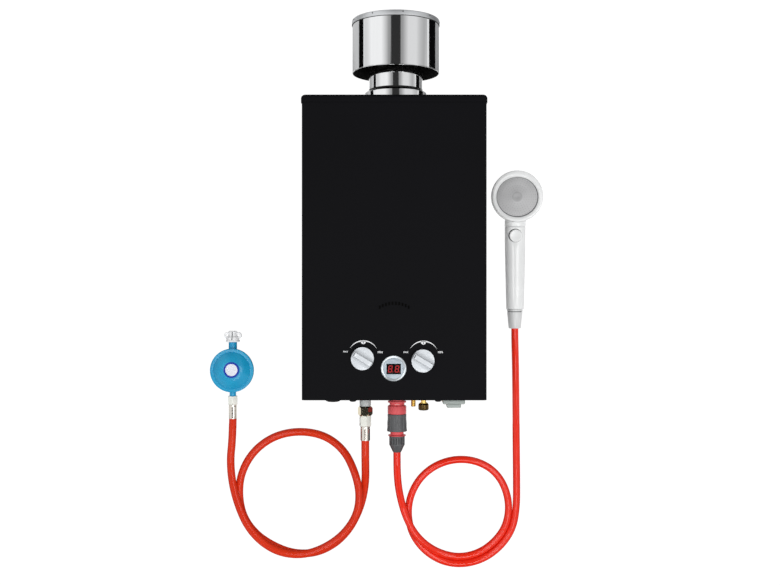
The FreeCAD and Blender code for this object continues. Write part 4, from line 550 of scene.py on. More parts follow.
WHITE_ABS = Finish("White moulded plastic", (238, 239, 239), (246, 247, 247), (0.22, 0.3), coat=0.2)
SOFT_WHITE = Finish("Soft white plastic", (216, 217, 217), (226, 227, 227), (0.26, 0.34), coat=0.1)
GREY_PLATE = Finish("Grey spray plate", (180, 180, 181), (193, 193, 194), (0.35, 0.5),
                    cloud_scale=40.0)
NOZZLE_GREY = Finish("Soft nozzles", (142, 142, 144), (156, 156, 158), (0.5, 0.6))
PLATE_CENTRE = Finish("Grey plate centre", (164, 164, 165), (176, 176, 177), (0.35, 0.5))
# Dark grey for the small ticks on the hose fittings, and painted shadow in the handset's gaps, the
# wing nut's slot and the cone nut's groove.
SEAM_AND_SHADOW_GREY = Finish("Seam shadow", (74, 76, 78), (96, 98, 100), (0.5, 0.6), specular=0.1)

SLOT_FINISHES = {
    "zinc_sheet": GALVANISED, "black_cabinet": POWDER_BLACK, "mica": MICA,
    "black_screw": BLACK_PLASTIC, "black_rubber": BLACK_RUBBER, "stainless": MIRROR_STEEL,
    "burner_steel": BURNER_STEEL, "copper": COPPER, "ceramic": CERAMIC,
    "valve_aluminium": CAST_ALUMINIUM, "brass": BRASS, "bronze": BRONZE,
    "black_plastic": BLACK_PLASTIC, "spring_steel": SPRING_STEEL, "pearl_plastic": PEARL,
    "display_black": BLACK_GLASS, "light_grey_plastic": GREY_PLASTIC, "cell_jacket": CELL_JACKET,
    "nickel": NICKEL, "gas_hose_rubber": GAS_RUBBER, "regulator_blue": REGULATOR_BLUE,
    "zinc_casting": CAST_ZINC, "red_plastic": RED_PLASTIC, "dark_grey_plastic": DARK_GREY,
    "shower_hose_pvc": SHOWER_PVC, "white_plastic": WHITE_ABS, "grey_plate": GREY_PLATE,
}


# ------------------------------------------------------------------------------ studio
@dataclass
class Card:
    """A card on the floor that only reflections see. Corners are in metres."""

    name: str
    low: Pair
    high: Pair
    tone: float = 0.004
    height: float = 0.0012


@dataclass
class Studio:
    """Camera, pale floor, soft light and the bands that polished metal reflects.

    The surround holds how bright the sky looks to a reflection, by how far it points to +X. The
    floor's share is how much of what is seen of it is its own glow.
    """

    camera_place: Point = (-0.0075, -0.0806, 1.955)
    lens: float = 46.7
    film_width: float = 36.0
    far: float = 30.0
    aim: Point = (0.0, 0.0, 0.1)
    floor_size: float = 9.0
    floor_height: float = -0.0002
    floor_tone: float = 0.8
    floor_rough: float = 0.9
    floor_glow: float = 1.12
    floor_share: float = 0.9
    sky_level: float = 0.36
    lamps: tuple[tuple[str, Point, float, float], ...] = (
        ("Left", (-0.75, 0.05, 2.6), 1.0, 13.0), ("Right", (1.15, -0.12, 2.6), 1.1, 16.5),
        ("Front", (0.2, -1.35, 2.4), 1.2, 22.0))
    surround: tuple[Pair, ...] = (
        (-1.0, 0.62), (-0.9, 1.0), (-0.6, 1.0), (-0.3, 0.36), (-0.225, 0.34), (-0.2, 0.03),
        (0.2, 0.03), (0.225, 0.34), (0.3, 0.36), (0.54, 0.8), (0.8, 0.8), (0.96, 0.46), (1.0, 0.8))
    surround_gain: float = 1.13
    cards: tuple[Card, ...] = (
        Card("Card left of flue", (-1.77, 0.3), (-0.347, 1.5)),
        Card("Card right of flue", (0.215, 0.3), (1.0, 1.5)),
        Card("Grey card by flue", (0.1, 0.3), (0.215, 1.5), 0.45),
        Card("Pale card by flue", (-0.347, 0.3), (-0.1, 1.5), 0.78),
        Card("Card under hoses", (-0.6, -0.9), (0.5, -0.335)),
        Card("Card under regulator", (-0.6, -0.275), (-0.175, -0.1)))

    def rays_that_see(self, nodes: bpy.types.Nodes,
                      links: bpy.types.NodeLinks) -> bpy.types.NodeSocket:
        """Returns a mask of 1 for camera, glossy and transmission rays."""
        path = nodes.new("ShaderNodeLightPath")
        mask = path.outputs["Is Camera Ray"]
        for name in ("Is Glossy Ray", "Is Transmission Ray"):
            larger = nodes.new("ShaderNodeMath")
            larger.operation = "MAXIMUM"
            links.new(mask, larger.inputs[0])
            links.new(path.outputs[name], larger.inputs[1])
            mask = larger.outputs[0]
        return mask

    def camera(self) -> None:
        """Hangs the camera over the object, level with the floor."""
        bpy.ops.object.select_all(action="DESELECT")
        bpy.ops.object.camera_add(location=self.camera_place, rotation=(0.0, 0.0, 0.0))
        camera = bpy.context.active_object
        camera.data.lens = self.lens
        camera.data.sensor_width = self.film_width
        camera.data.clip_end = self.far
        bpy.context.scene.camera = camera

    def sky(self) -> None:
        """Makes the world white to the eye, banded to reflections and softer as a light."""
        world = bpy.data.worlds.new("Studio sky")
        bpy.context.scene.world = world
        world.use_nodes = True
        nodes, links = world.node_tree.nodes, world.node_tree.links
        place, parts = nodes.new("ShaderNodeTexCoord"), nodes.new("ShaderNodeSeparateXYZ")
        links.new(place.outputs["Generated"], parts.inputs["Vector"])
        across = nodes.new("ShaderNodeMapRange")
        across.inputs["From Min"].default_value = -1.0
        links.new(parts.outputs["X"], across.inputs["Value"])
        bands = nodes.new("ShaderNodeValToRGB")
        links.new(across.outputs["Result"], bands.inputs["Fac"])
        stops = bands.color_ramp.elements
        for x, level in self.surround[1:-1]:
            stops.new((x + 1) / 2).color = (level, level, level, 1.0)
        for stop, (_, level) in ((stops[0], self.surround[0]), (stops[-1], self.surround[-1])):
            stop.color = (level, level, level, 1.0)
        gain = nodes.new("ShaderNodeMath")
        gain.operation = "MULTIPLY"
        gain.inputs[1].default_value = self.surround_gain
        links.new(bands.outputs["Color"], gain.inputs[0])
        seen = nodes.new("ShaderNodeMapRange")
        seen.inputs["To Min"].default_value = self.sky_level
        links.new(self.rays_that_see(nodes, links), seen.inputs["Value"])
        glossy, path = nodes.new("ShaderNodeMix"), nodes.new("ShaderNodeLightPath")
        links.new(path.outputs["Is Glossy Ray"], glossy.inputs["Factor"])
        links.new(seen.outputs["Result"], glossy.inputs["A"])
        links.new(gain.outputs[0], glossy.inputs["B"])
        nodes["Background"].inputs["Color"].default_value = (1.0, 1.0, 1.0, 1.0)
        links.new(glossy.outputs["Result"], nodes["Background"].inputs["Strength"])

    def floor(self) -> None:
        """Lays a white floor that keeps a faint shadow."""
        bpy.ops.object.select_all(action="DESELECT")
        bpy.ops.mesh.primitive_plane_add(size=self.floor_size,
                                         location=(0.0, 0.0, self.floor_height))
        floor = bpy.context.active_object
        floor.name = "Floor"
        material = bpy.data.materials.new("Studio floor")
        material.use_nodes = True
        nodes, links = material.node_tree.nodes, material.node_tree.links
        shader = nodes["Principled BSDF"]
        shader.inputs["Base Color"].default_value = (*[self.floor_tone] * 3, 1.0)
        shader.inputs["Roughness"].default_value = self.floor_rough
        shader.inputs["Specular IOR Level"].default_value = 0.0
        glow, mix = nodes.new("ShaderNodeEmission"), nodes.new("ShaderNodeMixShader")
        glow.inputs["Strength"].default_value = self.floor_glow
        share = nodes.new("ShaderNodeMath")
        share.operation = "MULTIPLY"
        share.inputs[1].default_value = self.floor_share
        links.new(self.rays_that_see(nodes, links), share.inputs[0])
        links.new(share.outputs[0], mix.inputs["Fac"])
        links.new(shader.outputs[0], mix.inputs[1])
        links.new(glow.outputs[0], mix.inputs[2])
        links.new(mix.outputs[0], nodes["Material Output"].inputs["Surface"])
        floor.data.materials.append(material)

    def light(self) -> None:
        """Hangs the soft lamps, aimed at the middle of the cabinet."""
        for name, place, size, power in self.lamps:
            aim = (Vector(self.aim) - Vector(place)).to_track_quat("-Z", "Y").to_euler()
            bpy.ops.object.light_add(type="AREA", location=place, rotation=aim)
            lamp = bpy.context.active_object
            lamp.name = name
            lamp.data.size = size
            lamp.data.energy = power

    def lay_cards(self) -> None:
        """Lays the cards, out of sight of the camera and of diffuse light."""
        for card in self.cards:
            material = bpy.data.materials.new(card.name)
            material.use_nodes = True
            shader = material.node_tree.nodes["Principled BSDF"]
            shader.inputs["Base Color"].default_value = (card.tone, card.tone, card.tone, 1.0)
            shader.inputs["Specular IOR Level"].default_value = 0.0
            bpy.ops.mesh.primitive_plane_add(size=1.0)
            plane = bpy.context.active_object
            plane.name = card.name
            plane.scale = (card.high[0] - card.low[0], card.high[1] - card.low[1], 1.0)
            plane.location = ((card.high[0] + card.low[0]) / 2, (card.high[1] + card.low[1]) / 2,
                              card.height)
            bpy.ops.object.transform_apply(location=True, rotation=True, scale=True)
            plane.data.materials.append(material)
            for ray in ("camera", "diffuse", "transmission", "volume_scatter", "shadow"):
                setattr(plane, f"visible_{ray}", False)

    def build(self) -> None:
        """Sets up the whole studio."""
        self.camera()
        self.sky()
        self.floor()
        self.light()
        self.lay_cards()
        bpy.context.scene.view_settings.view_transform = "Standard"


# ------------------------------------------------------------------------------ sub-assemblies
PLATE_HEXAGON = (27.0, -261.7, -253.7)


@dataclass
class Assembly:
    """A sub-assembly of the heater, on the body that it rides on.

    The axis is the X and Z of the line along Y that its turned pieces stand on.
    """

    body: str = "heater"
    axis: Pair = (0.0, 0.0)

    def fit(self, piece: Piece, finish: Finish, slot: str, *nodes: str, body: str = "") -> Piece:
        """Gives a piece its finish and body, and hides the CAD nodes that it replaces.

        Args:
            piece: The finished piece.
            finish: Its finish.
            slot: The record's material slot; not used.
            nodes: The CAD nodes that it replaces.
            body: Its body, where that isn't the assembly's own.

        Returns:
            The same piece.
        """
        piece.data.materials.clear()
        piece.data.materials.append(finish.material())
        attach(piece, body or self.body)
        if nodes:
            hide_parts(*nodes)
        log.info("%s on %s", piece.name, body or self.body)
        return piece

    def stand(self, piece: Piece, finish: Finish, slot: str, *nodes: str, body: str = "",
              at: Pair | None = None, smooth: float = 32.0) -> Piece:
        """Stands a piece along Y on an axis and fits it.

        Args:
            piece: The finished piece, in millimetres along local Z.
            finish: Its finish.
            slot: The record's material slot.
            nodes: The CAD nodes that it replaces.
            body: Its body, where that isn't the assembly's own.
            at: X and Z of its axis, where that isn't the assembly's own.
            smooth: Edges under this angle, in degrees, are shaded smooth.

        Returns:
            The same piece.
        """
        x, z = at or self.axis
        set_down(piece, (x, 0.0, z), Axis.Y, smooth)
        return self.fit(piece, finish, slot, *nodes, body=body)

    def paint(self, piece: Piece, finish: Finish, test: Callable[[Any], bool]) -> None:
        """Gives a second finish to the faces that pass a test."""
        piece.data.materials.append(finish.material())
        for face in piece.data.polygons:
            if test(face):
                face.material_index = 1


@dataclass
class Hose(Assembly):
    """A free hose between two fittings, on the points that its centre line follows."""

    name: str = ""
    node: str = ""
    slot: str = ""
    finish: Finish = GAS_RUBBER
    radius: float = 7.0
    length: float = 1.0
    route: tuple[Point, ...] = ()
    order: int = 3
    resolution: int = 12
    bevel_steps: int = 6

    def build(self) -> None:
        curve = bpy.data.curves.new(self.name, "CURVE")
        curve.dimensions = "3D"
        spline = curve.splines.new("NURBS")
        spline.points.add(len(self.route) - 1)
        for point, place in zip(spline.points, self.route):
            point.co = (*place, 1.0)
        spline.order_u = self.order
        spline.use_endpoint_u = True
        spline.resolution_u = self.resolution
        curve.bevel_depth = self.radius
        curve.bevel_resolution = self.bevel_steps
        curve.use_fill_caps = True
        hose = bpy.data.objects.new(self.name, curve)
        bpy.context.scene.collection.objects.link(hose)
        self.fit(hose, self.finish, self.slot, self.node)


GAS_HOSE = Hose(
    name="gas_hose_line", node="gas_hose", slot="gas_hose_rubber", finish=GAS_RUBBER,
    radius=0.0074, length=1.379, route=(
        (-0.0538, -0.3577, 0.06), (-0.0538, -0.385, 0.059), (-0.0538, -0.412, 0.045),
        (-0.0542, -0.435, 0.0265), (-0.0564, -0.457, 0.0138), (-0.0612, -0.482, 0.008),
        (-0.0712, -0.51, 0.0074), (-0.0884, -0.54, 0.0074), (-0.1155, -0.566, 0.0074),
        (-0.152, -0.5825, 0.0074), (-0.193, -0.583, 0.0074), (-0.231, -0.569, 0.0074),
        (-0.266, -0.546, 0.0074), (-0.2908, -0.512, 0.0074), (-0.299, -0.469, 0.0074),
        (-0.294, -0.427, 0.0074), (-0.271, -0.386, 0.0074), (-0.232, -0.357, 0.0074),
        (-0.184, -0.3465, 0.0074), (-0.134, -0.3545, 0.0074), (-0.096, -0.382, 0.0125),
        (-0.0745, -0.421, 0.0285), (-0.0643, -0.463, 0.0335), (-0.0702, -0.505, 0.0265),
        (-0.0945, -0.5415, 0.0228), (-0.13, -0.5675, 0.0224), (-0.171, -0.582, 0.0224),
        (-0.2155, -0.5785, 0.0224), (-0.252, -0.5585, 0.0223), (-0.28, -0.5275, 0.0213),
        (-0.2982, -0.487, 0.0196), (-0.3098, -0.445, 0.0172), (-0.314, -0.402, 0.0146),
        (-0.3092, -0.362, 0.018), (-0.3083, -0.3223, 0.018)))

SHOWER_HOSE = Hose(
    name="shower_hose_line", node="shower_hose", slot="shower_hose_pvc", finish=SHOWER_PVC,
    radius=0.0069, length=1.45, route=(
        (0.0056, -0.3606, 0.06), (0.0056, -0.391, 0.06), (0.006, -0.421, 0.0515),
        (0.0085, -0.45, 0.0385), (0.014, -0.479, 0.028), (0.0225, -0.508, 0.0228),
        (0.037, -0.538, 0.0214), (0.059, -0.563, 0.017), (0.089, -0.5825, 0.0089),
        (0.127, -0.591, 0.0069), (0.166, -0.5815, 0.0069), (0.197, -0.558, 0.0069),
        (0.217, -0.528, 0.0069), (0.2225, -0.4885, 0.0069), (0.212, -0.449, 0.0069),
        (0.189, -0.4195, 0.0069), (0.154, -0.403, 0.0069), (0.115, -0.4012, 0.0069),
        (0.0785, -0.4135, 0.0069), (0.0495, -0.4375, 0.0069), (0.0312, -0.4715, 0.0069),
        (0.0264, -0.509, 0.0069), (0.035, -0.546, 0.0069), (0.06, -0.579, 0.0069),
        (0.096, -0.6, 0.0069), (0.137, -0.6038, 0.0069), (0.177, -0.5915, 0.0069),
        (0.209, -0.5655, 0.0069), (0.2295, -0.533, 0.0069), (0.2362, -0.492, 0.0069),
        (0.2362, -0.44, 0.0069), (0.2355, -0.375, 0.0069), (0.235, -0.31, 0.0069),
        (0.2344, -0.255, 0.0079), (0.2332, -0.211, 0.0127), (0.2316, -0.168, 0.0155),
        (0.2316, -0.1243, 0.0155)))


@dataclass
class Cabinet(Assembly):
    """Finishes of the CAD nodes that keep their shape, cover screws and rubber plugs."""

    axis: Pair = (0.0, 98.0)
    half_width: float = 165.0
    screw_z: float = 9.6
    screw_rows: tuple[float, ...] = (-220.0, 0.0, 220.0)
    head_radius: float = 3.5
    head_height: float = 1.4
    plugs: tuple[Pair, ...] = ((-112.0, 17.5), (-75.5, 7.0), (80.8, 6.5))
    plate_y: float = -262.5
    plug_low: float = -281.0

    def dress_nodes(self, frame: dict[str, Any]) -> None:
        """Gives every CAD node the finish of its slot."""
        slots = {part["node"]: part["material_slot"] for part in frame["record"]["subparts"]}
        for name, node in frame["nodes"].items():
            material = SLOT_FINISHES[slots[name]].material()
            node.data.materials.clear()
            node.data.materials.append(material)

    def screws(self) -> None:
        """Turns six pan-head screws with a cross recess and sets them along both sides."""
        top = self.head_height
        head = turned("screw", ((1.9, -6.0), (1.9, 0.0), (self.head_radius, 0.0),
                                (self.head_radius, top * 0.35),
                                (self.head_radius * 0.86, top * 0.78),
                                (self.head_radius * 0.5, top), (0.4, top)), sides=40)
        arm, width = self.head_radius * 0.55, 0.42
        for low, high in (((-arm, -width, top * 0.4), (arm, width, top + 1.0)),
                          ((-width, -arm, top * 0.4), (width, arm, top + 1.0))):
            carve(head, block("recess", low, high))
        screws = []
        for row, y in enumerate(self.screw_rows):
            for side in (-1.0, 1.0):
                screw = copied(head, f"screw_{row}_{side:.0f}")
                moved(screw, turn=(0.0, side * math.pi / 2, 0.0))
                screws.append(moved(screw, shift=(side * self.half_width, y, self.screw_z)))
        bpy.data.objects.remove(head)
        piece = joined(screws)
        piece.name = "cover_screw_set"
        self.fit(set_down(piece), BLACK_PLASTIC, "black_screw", "cover_screws")

    def grommets(self) -> None:
        """Turns the three domed rubber plugs under the bottom plate."""
        plugs = []
        for x, radius in self.plugs:
            low, steps = self.plug_low, 6
            neck = radius * 0.8
            rounding = radius * 0.6
            profile = [(neck, self.plate_y + 2.4), (neck, self.plate_y), (radius, self.plate_y),
                       (radius, low + rounding)]
            for step in range(1, steps + 1):
                angle = step / steps * math.pi / 2
                profile.append((radius - rounding * (1 - math.cos(angle)),
                                low + rounding * (1 - math.sin(angle))))
            plug = turned(f"plug_{x:.0f}", profile, sides=64)
            plugs.append(moved(plug, shift=(x, 0.0, 0.0)))
        piece = joined(plugs)
        piece.name = "rubber_plug_set"
        self.stand(piece, BLACK_RUBBER, "black_rubber", "rubber_grommets")

    def build(self, frame: dict[str, Any]) -> None:
        """Dresses the cabinet."""
        self.dress_nodes(frame)
        self.screws()
        self.grommets()


@dataclass
class Flue(Assembly):
    """Collar, pipe, drum and lid of the flue cap, all turned about one axis."""

    axis: Pair = (3.0, 84.0)
    foot: float = 272.5
    pipe_radius: float = 49.5
    pipe_top: float = 378.0
    sheet: float = 0.8
    drum_radius: float = 80.0
    drum_low: float = 323.5
    drum_high: float = 420.0
    lid_low: float = 411.5
    lid_top: float = 421.0
    sides: int = 192
    rivets: int = 9
    rivet_turn: float = -31.0

    def inward_painted_shade(self, face: Any) -> bool:
        """True for a face that looks at the flue's axis or into the drum, where shade is painted.
        """
        x, z = self.axis
        outward = Vector((face.center.x - x * MM, 0.0, face.center.z - z * MM))
        return outward.dot(face.normal) < -1e-6

    def collar(self) -> None:
        """Turns the flared collar, its rolled bead and a ring of painted shadow under the pipe."""
        foot, wall = self.foot, self.sheet
        collar = turned("collar_cone", (
            (56.4, foot), (58.6, foot), (58.6, foot + wall), (57.8, foot + 1.2), (57.5, foot + 2.0),
            (57.5, foot + 12.4), (57.3, foot + 13.2), (56.6, foot + 14.0), (52.0, foot + 17.2),
            (50.6, foot + 17.8), (50.1, foot + 18.3), (49.7, foot + 18.3), (49.7, foot + 17.2),
            (56.4, foot + 12.2)), self.sides, closed=True)
        self.stand(collar, MIRROR_STEEL, "stainless", "flue_collar")
        # A dark ring at the joint is painted shadow under the pipe's rim.
        joint = foot + 18.2
        shadow_ring = turned("collar_joint_shadow", ((49.55, joint), (50.0, joint + 0.1), (50.1, joint + 1.0),
                                       (50.0, joint + 1.9), (49.55, joint + 2.0)), self.sides,
                      closed=True)
        self.stand(shadow_ring, DARK_STEEL_PAINTED_SHADE, "stainless")

    def pipe(self) -> None:
        """Turns the exhaust pipe."""
        outer, inner = self.pipe_radius, self.pipe_radius - self.sheet
        pipe = turned("exhaust_tube", ((outer, self.foot), (outer, self.pipe_top),
                                       (inner, self.pipe_top),
                                       (inner, self.foot)), self.sides, closed=True)
        self.stand(pipe, MIRROR_STEEL, "stainless", "exhaust_pipe")
        # The inside of the pipe is painted dark steel: painted shade.
        self.paint(pipe, DARK_STEEL_PAINTED_SHADE, self.inward_painted_shade)

    def drum(self) -> None:
        """Turns the drum with a narrow hem round its mouth."""
        outer, low, wall = self.drum_radius, self.drum_low, self.sheet
        drum = turned("cap_drum", ((outer - wall, low), (outer - 0.1, low),
                                   (outer + 0.25, low + 0.3),
                                   (outer + 0.25, low + 1.1), (outer, low + 1.5),
                                   (outer, self.drum_high), (outer - wall, self.drum_high)),
                      self.sides, closed=True)
        self.stand(drum, MIRROR_STEEL, "stainless", "rain_cap_drum")
        # The inside of the drum is painted dark steel: painted shade.
        self.paint(drum, DARK_STEEL_PAINTED_SHADE, self.inward_painted_shade)

    def lid(self) -> None:
        """Turns the lid with its skirt and sets small rivets round it."""
        reach, low, top = self.drum_radius + 0.2, self.lid_low, self.lid_top
        lid = turned("cap_lid", ((reach, top - self.sheet), (reach, low), (reach + self.sheet, low),
                                 (reach + self.sheet, top - 2.4), (reach + 0.3, top - 1.1),
                                 (reach - 0.6, top - 0.3), (reach - 1.9, top)), self.sides)
        self.stand(lid, BRUSHED_STEEL, "stainless", "rain_cap_lid")
        # The lid's underside is painted dark steel: painted shade.
        self.paint(lid, DARK_STEEL_PAINTED_SHADE, lambda face: face.normal.y < -0.5)
        # A dark ring under the lid's skirt is painted shadow.
        joint = turned("lid_joint_shadow", ((reach - 0.15, low - 0.8), (reach + 0.5, low - 0.8),
                                     (reach + 0.5, low), (reach - 0.15, low)), self.sides,
                       closed=True)
        self.stand(joint, DARK_STEEL_PAINTED_SHADE, "stainless")
        rivet = turned("lid_rivets", ((1.1, 0.0), (1.0, 0.45), (0.6, 0.75)), sides=20)
        moved(rivet, turn=(0.0, math.pi / 2, 0.0))
        moved(rivet, shift=(reach + self.sheet - 0.1, 0.0, top - 3.6))
        around(rivet, self.rivets)
        moved(rivet, turn=(0.0, 0.0, -math.pi / 2 + math.radians(self.rivet_turn)))
        self.stand(rivet, DARK_STEEL_PAINTED_SHADE, "stainless")

    def build(self) -> None:
        """Builds the whole flue."""
        self.collar()
        self.pipe()
        self.drum()
        self.lid()


@dataclass
class ControlKnob(Assembly):
    """A round knob with a raised grip across it and a dark mark at its pointer end."""

    name: str = ""
    node: str = ""
    at: Pair = (0.0, 0.0)
    base: float = 155.3
    height: float = 20.0
    radius: float = 20.4
    skirt: float = 6.5
    grip: float = 7.4
    scoop: float = 7.0
    leans: tuple[Pair, ...] = ((-1.0, 0.9), (1.0, 2.2))
    angle: float = 149.0

    def build(self) -> None:
        """Turns the knob, scoops its sides and sets the mark."""
        low, top, radius = self.base, self.base + self.height, self.radius
        knob = turned(self.name, ((radius - 0.8, low), (radius, low + 0.8), (radius, low + 4.6),
                                  (radius - 0.25, low + 9.0), (radius - 0.9, top - 2.6),
                                  (radius - 1.8, top - 1.0), (radius - 3.6, top - 0.25),
                                  (radius - 8.0, top)), sides=128)
        for side, lean in self.leans:
            near, far = side * self.grip / 2, side * (radius + 2.0)
            low_y, high_y = min(near, far), max(near, far)
            scoop = block("scoop", (-radius - 2.0, low_y, low + self.skirt),
                          (radius + 2.0, high_y, top + 8.0))
            for above, share in ((True, -0.6), (False, 1.0)):
                pick(scoop, lambda p, above=above: (p.z > top) == above and abs(p.y) < self.grip)
                with editing(scoop):
                    bpy.ops.transform.translate(value=(0.0, side * lean * share, 0.0))
            pick(scoop, lambda p: p.z < top and abs(p.y) < self.grip)
            with editing(scoop):
                bpy.ops.mesh.bevel(offset=self.scoop, segments=12, affect="EDGES")
            carve(knob, scoop)
        carve(knob, rod("bore", 4.1, low - 1.0, low + 12.0, 48))
        soften(knob, 0.7, 3, 30.0)
        turn = (0.0, 0.0, math.radians(self.angle))
        moved(knob, turn=turn)
        mark = soften(block(f"{self.name}_mark", (radius - 4.8, -3.0, top - 3.0),
                            (radius - 3.0, 3.0, top - 0.05)), 0.2)
        moved(mark, turn=turn)
        place = (*self.at, 0.0)
        self.fit(set_down(knob, place, smooth=40.0), PEARL, "pearl_plastic", self.node)
        self.fit(set_down(mark, place), MARK_GREY, "pearl_plastic")


@dataclass
class DisplayFace(Assembly):
    """Silver bezel round the display, with two lit digits behind its window."""

    x: float = -1.0
    y: float = -215.5
    front: float = 155.0
    radius: float = 23.0
    window: Pair = (25.6, 18.5)
    window_drop: float = 1.0
    glass: float = 156.6
    digit: Pair = (7.0, 12.2)
    pitch: float = 12.0
    stroke: float = 1.3
    slant: float = 8.0

    def bezel(self) -> None:
        """Turns the rim and the face, and cuts the window."""
        low, radius = self.front, self.radius
        rim = turned("display_rim", ((radius - 4.2, low), (radius, low), (radius, low + 1.6),
                                     (radius - 0.3, low + 2.8), (radius - 0.9, low + 3.5),
                                     (radius - 1.5, low + 3.5), (radius - 4.2, low + 2.6)),
                     sides=128, closed=True)
        self.fit(set_down(rim, (self.x, self.y, 0.0)), SILVER_RIM, "pearl_plastic")
        face = turned("display_plate", ((19.0, low - 6.0), (19.0, low + 0.01),
                                        (radius - 4.3, low + 0.01),
                                        (radius - 4.3, low + 2.5), (radius - 4.7, low + 2.7)),
                      sides=128)
        wide, high = self.window[0] / 2, self.window[1] / 2
        drop = -self.window_drop
        carve(face,
              block("window", (-wide, drop - high, low - 9.0), (wide, drop + high, low + 9.0)))
        soften(face, 0.3, 2, 40.0)
        self.fit(set_down(face, (self.x, self.y, 0.0)), SILVER_PAINT, "pearl_plastic",
                 "display_bezel")
        unit = lettering("unit_mark", "°C", 3.6, 0.12)
        self.fit(set_down(unit, (self.x + 16.4, self.y - 0.6, low + 2.72)), MARK_GREY,
                 "pearl_plastic")

    def segment(self, length: float, width: float, thick: float) -> Piece:
        """Makes one pointed bar along X, centred on the origin."""
        bar = turned("bar", ((width / math.sqrt(3), 0.0), (width / math.sqrt(3), thick)), sides=6)
        reach = length / 2 - width / math.sqrt(3)
        for side in (-1.0, 1.0):
            pick(bar, lambda p, side=side: p.x * side > 0.05)
            with editing(bar):
                bpy.ops.transform.translate(value=(side * reach, 0.0, 0.0))
        return bar

    def digits(self, name: str, grow: float, height: float, finish: Finish) -> None:
        """Lays out two slanted eights from pointed bars.

        Args:
            name: Name of the new piece.
            grow: How much wider each bar is than the stroke.
            height: Height of the bars above the glass.
            finish: Their finish.
        """
        wide, high = self.digit
        lean = math.tan(math.radians(self.slant))
        bars = []
        for column in (-0.5, 0.5):
            for row in (-1.0, 0.0, 1.0):
                y = row * (high - self.stroke) / 2
                bar = self.segment(wide - 1.0 + grow, self.stroke + grow, height)
                bars.append(moved(bar, shift=(column * self.pitch + y * lean, y, 0.0)))
            for side in (-0.5, 0.5):
                for row in (-1.0, 1.0):
                    y = row * (high - self.stroke) / 4
                    bar = self.segment((high - self.stroke) / 2 - 0.3 + grow, self.stroke + grow,
                                       height)
                    moved(bar, turn=(0.0, 0.0, math.radians(90.0 - self.slant)))
                    x = column * self.pitch + side * (wide - self.stroke) + y * lean
                    bars.append(moved(bar, shift=(x, y, 0.0)))
            dot = rod("dot", 0.7 + grow / 2, 0.0, height, 20)
            bars.append(moved(dot,
                              shift=(column * self.pitch + wide / 2 + 0.9, -high / 2 + 0.7, 0.0)))
        piece = joined(bars)
        piece.name = name
        place = (self.x, self.y - self.window_drop, self.glass)
        self.fit(set_down(piece, place), finish, "display_black")

    def build(self) -> None:
        """Builds the bezel and its digits."""
        self.bezel()
        self.digits("digit_frames", 0.5, 0.04, DIGIT_DARK)
        self.digits("digit_bars", 0.0, 0.08, DIGIT_RED)


@dataclass
class PanelPrint(Assembly):
    """White scales and words printed round a knob on the front cover."""

    name: str = ""
    scale_at: Pair = (0.0, 0.0)
    words: tuple[tuple[str, float, float], ...] = ()
    front: float = 155.02
    ink: float = 0.06
    outer: float = 26.9
    inner: float = 28.85
    inner_drop: float = 3.95
    tab: float = 4.4

    def scale(self) -> None:
        """Cuts the crescent, with its tab under the middle."""
        disc = rod(f"{self.name}_scale", self.outer, 0.0, self.ink, 192)
        hollow = rod("hollow", self.inner, -1.0, 1.0, 192)
        carve(disc, moved(hollow, shift=(0.0, -self.inner_drop, 0.0)))
        tab = rod("tab", self.tab, 0.0, self.ink, 64)
        tab = moved(tab, shift=(0.0, self.outer - 2.4, 0.0))
        carve(tab, block("above", (-9.0, self.outer - 1.0, -1.0), (9.0, self.outer + 9.0, 1.0)))
        crescent = joined([disc, tab])
        place = (*self.scale_at, self.front)
        self.fit(set_down(crescent, place), PRINT_WHITE, "black_cabinet")
        icon = rod(f"{self.name}_icon", 1.15, 0.0, 0.05, 24)
        pick(icon, lambda p: p.y > 1.05)
        with editing(icon):
            bpy.ops.transform.translate(value=(0.0, 1.3, 0.0))
        moved(icon, shift=(0.0, self.outer - 4.6, self.ink))
        self.fit(set_down(icon, place), MARK_GREY, "black_cabinet")

    def labels(self) -> None:
        """Sets the words at both ends of the scale."""
        for word, x, y in self.words:
            label = lettering(f"{self.name}_{word.lower()}", word, 8.6, self.ink)
            self.fit(set_down(label, (x, y, self.front)), PRINT_WHITE, "black_cabinet")

    def build(self) -> None:
        """Prints the scale and its words."""
        self.scale()
        self.labels()


